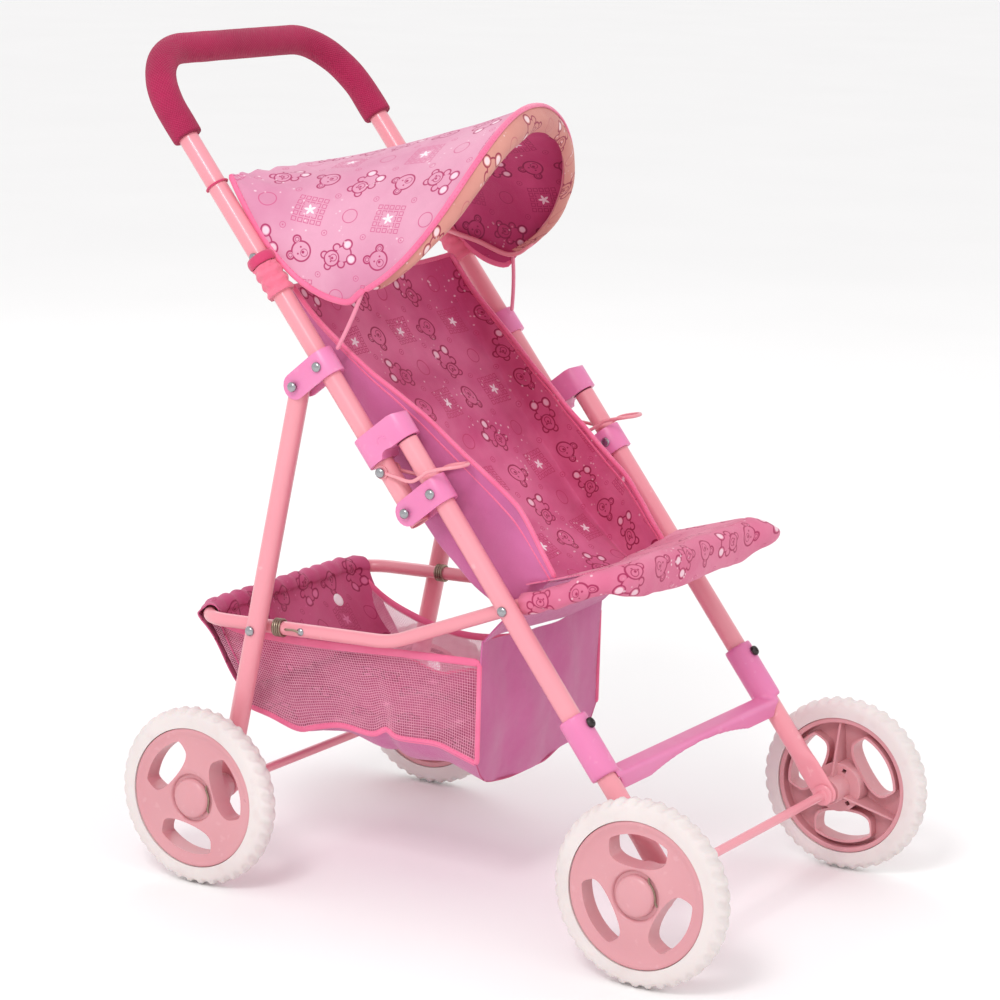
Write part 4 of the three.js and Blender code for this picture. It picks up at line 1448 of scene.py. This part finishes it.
def make_canopy_hoop():
    """The wire arch just inside the front edge, its arms running back to the handle."""
    arch = [canopy_point(0.975, math.pi * k / 48, 0.0045) for k in range(4, 45, 3)]
    pivot = at(0.0987, CANOPY_PIVOT)
    elbow = Vector((0.1, CANOPY_CORNER.y + 0.014, CANOPY_CORNER.z + 0.007))
    arm = [pivot, pivot.lerp(elbow, 0.5), elbow]
    route = [*arm, *arch, *(mirrored(point) for point in reversed(arm))]
    pieces = [wire("hoop_wire", curve_through(route, 8), 0.0017, sides=12, step=0.003)]
    for _, sign in SIDES:
        start = at(sign * 0.0978, CANOPY_PIVOT)
        pieces.append(eye(0.0022, 0.0045, 0.002, 0.0003, start, sign))
    finish_piece(join("hoop", pieces), "canopy", PAINT, "canopy_hoop", slot="pink_paint")


def make_elastic(side, sign):
    """The cord from the canopy's corner down to the handle."""
    corner = canopy_point(0.97, 0 if sign > 0 else math.pi)
    upper = Vector((sign * 0.1062, corner.y, corner.z - 0.001))
    lower = on_handle(UPPER_BRACKET + 4, -11.3, sign * 0.105)
    bow = Vector((0, -0.0008, 0))
    between = [lower.lerp(upper, share) + bow for share in (0.35, 0.7)]
    cord = wire(f"elastic_{side}", curve_through([lower, *between, upper], 8), 0.0013, sides=12)
    finish_piece(cord, None, ELASTIC, f"elastic_cord_{side}", slot="elastic")
    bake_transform(cord)


make_canopy()
trim_canopy()
make_canopy_hoop()
for side_name, side_sign in SIDES:
    make_elastic(side_name, side_sign)

# ---------------------------------------------------------------- seat

SEAT_HALF = 0.089

# Stations from the top of the back to the front of the seat: the cloth's own line in the
# side view, and the free upper edge of the side panel there.
SEAT_STATIONS = (
    (on_handle(170, 7), on_handle(168, 0)),
    (on_handle(140, 10), on_handle(134, -4)),
    (on_handle(100, 12), on_handle(92, -17)),
    (on_handle(55, 12), on_handle(50, -33)),
    (on_handle(10, 11), on_handle(2, -47)),
    (on_handle(-30, 9), on_handle(-26, -56)),
    (Vector((0, -0.038, 0.207)), on_handle(-44, -58)),
    (Vector((0, -0.062, 0.211)), on_handle(-84, -54)),
)


def seat_section(low, edge, t):
    """The cloth's line across the seat, from one free edge down, over and up to the other."""
    back = 1 - smooth((t - 0.55) / 0.25)
    out = BEHIND * 0.004 * back - Vector((0, 0, 0.003)) * (1 - back)
    half = [
        at(SEAT_HALF + 0.004, edge),
        at(SEAT_HALF + 0.0035, edge.lerp(low, 0.33)),
        at(SEAT_HALF + 0.002, edge.lerp(low, 0.66)),
        at(SEAT_HALF - 0.0005, edge.lerp(low, 0.93)),
        at(SEAT_HALF - 0.006, low + out * 0.3),
        at(SEAT_HALF * 0.62, low + out * 0.8),
        at(SEAT_HALF * 0.3, low + out),
        at(0, low + out * 1.05),
    ]
    return curve_through([*half, *(mirrored(point) for point in reversed(half[:-1]))], 7)


def slumped(point, t):
    """The left panel's free edge leans in and hangs lower than the right one's."""
    if point.x < 0:
        return point
    lean = smooth(t / 0.4)
    share = smooth((point.x - SEAT_HALF + 0.012) / 0.012)
    height = max(0.0, -(point - FOLD).dot(BEHIND) + 0.012)
    return point + (BEHIND * 0.3 * height - Vector((0.24 * height, 0, 0))) * lean * share


def seat_rows():
    lows = curve_through([low for low, _ in SEAT_STATIONS], 9)
    edges = curve_through([edge for _, edge in SEAT_STATIONS], 9)
    rows = []
    for t, low, edge in zip(shares(len(lows) - 1), lows, edges):
        row = []
        for point in (slumped(point, t) for point in seat_section(low, edge, t)):
            free = 1 - (abs(point.x) / SEAT_HALF) ** 2 * 0.6
            fold = math.sin(point.x * 55 + 4 * t) * math.exp(-(((t - 0.66) / 0.12) ** 2))
            wander = ripple(point, 18, 0.0030 * free) + Vector((0, 0.0016 * fold, 0.0012 * fold))
            wander += ripple(point, 48, 0.0017 * free)
            row.append(point + wander)
        rows.append(row)
    return rows


def follow_seat(piece):
    """Bakes the seat cloth's placement into its mesh."""
    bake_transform(piece)


def make_seat():
    rows = seat_rows()
    seat = strip("seat_cloth", rows, 0.0012, SEAT_PRINT, MAUVE)
    finish_piece(seat, None, None, "seat_sling", slot="printed_cloth", smooth=60)
    follow_seat(seat)
    for side, outer, inner, out in (("left", 0, 5, 0.0005), ("right", -1, -6, -0.0005)):
        for kind, share, radius in (("edge", 0.0, 0.0017), ("second", 0.55, 0.0011)):
            line = [row[outer].lerp(row[inner], share) + Vector((out, 0, 0)) for row in rows]
            name = f"seat_{kind}_piping_{side}"
            trim(name, line, follow_seat, "printed_cloth", radius, flat=0.8)
    trim("seat_top_piping", rows[0], "handle_frame", "printed_cloth")


make_seat()

# ---------------------------------------------------------------- calf rest

CALF_BACK = 0.006


def calf_path():
    """The middle of the bar that the calf rest is turned round."""
    start = towards(SEAT_PIVOT, SEAT_BEND, -CALF_BACK)
    half = [(at(-SEAT_BAR_X, start), 0), (at(-SEAT_BAR_X, SEAT_FRONT), FRONT_BEND)]
    return Path(rounded(both_sides(half), 12), Vector((0, 0, 1)))


def make_calf_edge():
    """The padded edge: cloth turned round the bar, hanging fullest along the front."""
    path = calf_path()
    tip = Vector((0.72, -0.69, -0.1)).normalized()
    rows = []
    for t in shares(190):
        s = path.length * t
        point, (_, first, second) = path.at(s)
        full = smooth((min(s, path.length - s) - 0.045) / 0.05)
        poke = math.exp(-(((path.length - s - 0.064) / 0.014) ** 2))
        row = []
        for angle in circle(40):
            turn = turned(first, second, angle)
            pleat = math.sin(s * 300 + 2.5 * noise(point * 40 + turn * 2)) * (1 - 0.7 * full)
            place = point + turn * (SEAT_BAR + 0.0018 + 0.0005 * pleat)
            place.z -= (0.0015 + 0.0105 * full) * smooth(0.25 - turn.z)
            place.y -= 0.0025 * full * smooth(-turn.y)
            place += tip * 0.016 * poke * max(0.0, turn.dot(tip)) ** 2
            row.append(place + ripple(place, 30, 0.002))
        rows.append(row)
    edge = grid("calf_edge", rows, closed=True)
    edge.data.materials.append(CALF_PRINT)
    thicken(edge, 0.0009)
    finish_piece(edge, "seat_loop", None, "calf_rest", slot="printed_cloth", smooth=60)


def calf_point(across, t):
    """A point of the cloth between the side bars, from its rear edge at 0 to the front bar at 1."""
    back = towards(SEAT_PIVOT, SEAT_BEND, -CALF_BACK)
    front = towards(SEAT_PIVOT, SEAT_BEND, -0.072)
    narrow = 0.012 * smooth((t - 0.72) / 0.28)
    point = at(across * (SEAT_BAR_X - narrow), back.lerp(front, t))
    point.z += 0.0068 + 0.006 * (1 - t) - 0.008 * (1 - across**2) * (1 - t)
    return point


def make_calf_top():
    """The cloth stretched between the side bars, sagging a little behind the front bar."""
    rows = []
    for t in shares(24):
        row = []
        for across in sideways(48):
            point = calf_point(across, t)
            row.append(point + ripple(point, 34, 0.0026 * (1 - across**4)))
        rows.append(row)
    top = strip("calf_top", rows, 0.0009, CALF_PRINT, MAUVE)
    finish_piece(top, "seat_loop", None, "calf_rest", slot="printed_cloth", smooth=60)


make_calf_edge()
make_calf_top()

# ---------------------------------------------------------------- basket

BASKET_HALF = 0.0865

# The front wall's left end stands this much further back than its right end.
WALL_SKEW = 0.013

# The left side's upper edge is slack, and hangs this much lower in its middle.
LEFT_SLACK = 0.029

# The basket's side in the side view, from rear to front: its upper edge and its lower edge.
SIDE_TOP = ((184, 164), (160, 158), (134, 157), (90, 158), (30, 162), (-28, 165))
SIDE_BOTTOM = (
    (148, 107), (132, 104), (110, 98.5), (96, 102), (76, 106.5), (52, 105),
    (41, 110), (32, 106), (4, 107), (-10, 104), (-28, 99),
)


def side_view(points):
    return [Vector((0, y * MM, z * MM)) for y, z in points]


def even(line, count):
    """Points at even distances along a line."""
    path = Path(line)
    return [path.at(path.length * t)[0] for t in shares(count)]


def collapse(piece):
    """Gives the piece its own copy of its mesh."""
    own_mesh(piece)


def ride_and_collapse(piece):
    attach(piece, "seat_loop")
    collapse(piece)


def net_rows(x, count_along, count_up):
    """One side of the basket: rows of points from its lower edge to its upper one."""
    top = even(curve_through(side_view(SIDE_TOP), 12), count_along)
    bottom = even(curve_through(side_view(SIDE_BOTTOM), 12), count_along)
    skew, slack = (WALL_SKEW, LEFT_SLACK) if x > 0 else (0.0, 0.0)
    rows = []
    for t in shares(count_up):
        row = []
        for share, low, high in zip(shares(count_along), bottom, top):
            point = low.lerp(high, t)
            point.y += skew * share**3
            point.z -= slack * t * math.sin(math.pi * share) ** 0.9
            wander = 0.003 * noise(Vector((x * 3, point.y * 22, point.z * 22)))
            point.x = x + (wander - math.copysign(0.003, x)) * math.sin(math.pi * t)
            row.append(point)
        rows.append(row)
    return rows, bottom


def make_basket_side(side, sign):
    """A side of real netting, bound along three of its edges."""
    x = sign * BASKET_HALF
    rows, _ = net_rows(x, 108, 34)
    net = grid(f"basket_net_{side}", rows)
    threads = net.modifiers.new("threads", "WIREFRAME")
    threads.thickness = 0.00055
    threads.use_even_offset = False
    threads.use_boundary = True
    bake(net)
    finish_piece(net, "seat_loop", NET, slot="basket_cloth", smooth=0)
    collapse(net)
    for kind, edge, radius, flat in (
        ("top", rows[-1], 0.0026, 0.4),
        ("bottom", rows[0], 0.0019, 0.4),
        ("corner", [row[-1] for row in rows], 0.0018, 0.7),
    ):
        line = [at(x, point) for point in edge]
        name = f"basket_{kind}_binding_{side}"
        trim(name, line, ride_and_collapse, "basket_cloth", radius, flat=flat)


def basket_panel(name, rows, material, flat, *replaced):
    """A piece of the basket's cloth, lined with plain cloth."""
    panel = strip(name, rows, 0.001, material, MAUVE)
    finish_piece(panel, "seat_loop", None, *replaced, slot="basket_cloth", smooth=60)
    return panel


def make_basket_floor():
    """The floor's cloth, sagging behind the front wall. Gives back the wall's foot."""
    _, bottom = net_rows(BASKET_HALF, 60, 1)
    rows = []
    for s, low in zip(shares(len(bottom) - 1), bottom):
        sag = 0.02 * smooth(s * 1.3)
        row = []
        for across in sideways(30):
            point = at(BASKET_HALF * across, low)
            point.z -= sag * (1 - abs(across) ** 8)
            point.y += WALL_SKEW * s**3 * (across + 1) / 2
            row.append(point + ripple(point, 24, 0.003 * (1 - across**6) * smooth(s * 8)))
        rows.append(row)
    collapse(basket_panel("basket_floor", rows, BASKET_PRINT, (0.19, 0.175), "basket"))
    return rows[-1]


def slit(across):
    """The height of the slit over the front wall, and how far it gapes."""
    height = mix(0.1795, 0.1715, smooth((across + 1) / 1.3))
    gape = 0.0019 * smooth((0.5 - across) / 0.5) * smooth((across + 0.96) / 0.2)
    return height, gape


def wall_column(low, across):
    """A line of the front wall, from its foot up to the slit."""
    height, gape = slit(across)
    free = 1 - across**4
    top = Vector((low.x, -0.03 + WALL_SKEW * (across + 1) / 2, height - gape))
    column = []
    for t in shares(24):
        point = low.lerp(top, t)
        bulge = math.sin(math.pi * t)
        point.y -= 0.004 * bulge * free
        fold = Vector((0, 0.0016 * math.sin(across * 9 + 2 * t) * free, 0))
        column.append(point + fold + ripple(point, 20, 0.0026 * bulge))
    return column


def flap_column(low, across):
    """A line of the flap, from the slit up to the calf rest's rear edge."""
    height, gape = slit(across)
    y = -0.0308 + WALL_SKEW * (across + 1) / 2
    start = Vector((low.x, y, height + gape - 0.0008))
    end = calf_point(low.x / SEAT_BAR_X, 0.02) - Vector((0, 0, 0.001))
    line = [(t, start.lerp(end, t)) for t in shares(10)]
    return [point + ripple(point, 24, 0.0018 * math.sin(math.pi * t)) for t, point in line]


def make_basket_front(foot):
    """The plain front wall, and the flap under the seat above the slit."""
    places = list(zip(foot, sideways(len(foot) - 1)))
    wall = [wall_column(low, across) for low, across in places]
    flap = [flap_column(low, across) for low, across in places]
    collapse(basket_panel("basket_front", wall, MAUVE, (0.175, 0.092)))
    basket_panel("seat_flap", flap, MAUVE, (0.175, 0.062))


def rear_line():
    """The rear wall in the side view: up from the floor, over the rear bar and down outside."""
    wrap = SEAT_BAR + 0.0016
    line = side_view(((148, 106.5), (166, 130), (181, 151)))
    for t in shares(8):
        line.append(SEAT_REAR + round_x(0, wrap, math.radians(-20 + 220 * t)))
    line += side_view(((176.5, 153.5), (163.5, 134), (153, 119)))
    return curve_through(line, 6)


def make_basket_rear():
    """The printed rear wall, turned over the rear bar and closed with snaps."""
    path = rear_line()
    corner = 0.026
    rows = []
    for k, across in enumerate(sideways(44)):
        row = []
        for t, point in zip(shares(len(path) - 1), path):
            half = mix(0.0855, 0.089, smooth(t * 2.6))
            beyond = max(0.0, abs(half * across) - 0.071)
            turned_in = corner - math.sqrt(corner**2 - beyond**2)
            gather = 0.0009 * math.sin(k * 1.9) * smooth((t - 0.1) / 0.3)
            spot = at(half * across, point) - Vector((0, turned_in * smooth(t * 2.6), 0))
            clear = (spot - at(spot.x, SEAT_REAR)).normalized()
            wander = ripple(spot, 26, 0.0024 * (1 - smooth(t * 3)))
            row.append(spot + clear * (gather + 0.0007) + wander)
        rows.append(row)
    # Both sides take the darker basket print: painted shade for the wall in the shadow under the seat.
    rear = strip("basket_rear", rows, 0.0009, BASKET_PRINT, BASKET_PRINT)
    finish_piece(rear, "seat_loop", None, slot="printed_cloth", smooth=60)
    button = [(0, 0), (0.0045, 0), (0.005, 0.0006), (0.0048, 0.0013), (0.0034, 0.0019)]
    button += [(0.0012, 0.0018), (0, 0.0014)]
    for side, sign in SIDES:
        spot = Vector((sign * 0.05, 0.1735, 0.1485))
        snap = revolve(f"basket_snap_{side}", button, 28, spot, Vector((0, -0.8, 0.6)))
        finish_piece(snap, "seat_loop", SNAP_PLASTIC, slot="basket_cloth")


for side_name, side_sign in SIDES:
    make_basket_side(side_name, side_sign)
make_basket_front(make_basket_floor())
make_basket_rear()

# ---------------------------------------------------------------- cloth round the handle


def make_seat_loop(side, x):
    """The gathered loop that holds the seat's back to the handle."""
    path = Path([on_handle(162, 0, x), on_handle(183, 0, x)])
    rows = []
    for s in steps(0, path.length, 0.0008):
        point, (_, first, second) = path.at(s)
        row = []
        for angle in circle(44):
            turn = turned(first, second, angle)
            crease = 0.0007 * math.sin(s * 900 + 3 * noise(turn * 2 + point * 60))
            row.append(point + turn * (TUBE + 0.0022 + crease))
        rows.append(row)
    ends = []
    for row, middle in ((rows[0], path.at(0)[0]), (rows[-1], path.at(path.length)[0])):
        ends.append([point.lerp(middle, 0.28) for point in row])
    rows = [ends[0], *rows, ends[1]]
    loop = grid(f"seat_loop_cloth_{side}", rows, closed=True)
    fill_rings(loop, 44, len(rows))
    finish_piece(loop, "handle_frame", LOOP_CLOTH, slot="canopy_cloth", smooth=70)


def make_straps(side, x):
    """The canopy's strap and its thin tie round the handle."""
    out = Vector((math.copysign(1, x), 0, 0))
    middle = on_handle(187, 0, x)
    reach = TUBE + 0.0021
    strap = [middle + turned(BEHIND, out, math.radians(-35 + 250 * t)) * reach for t in shares(24)]
    name = f"canopy_strap_{side}"
    trim(name, strap, "handle_frame", "canopy_cloth", 0.0034, KNOB_CLOTH, flat=0.4)
    middle = on_handle(244, 0, x)
    reach = TUBE + 0.0008
    ring = [middle + turned(BEHIND, OUTWARDS, angle) * reach for angle in circle(24)]
    tie = wire(f"canopy_tie_{side}", ring, 0.0007, sides=8)
    finish_piece(tie, "handle_frame", KNOB_CLOTH, slot="canopy_cloth")


for side_name, side_sign in SIDES:
    make_seat_loop(side_name, side_sign * SIDE_X)
    make_straps(side_name, side_sign * SIDE_X)
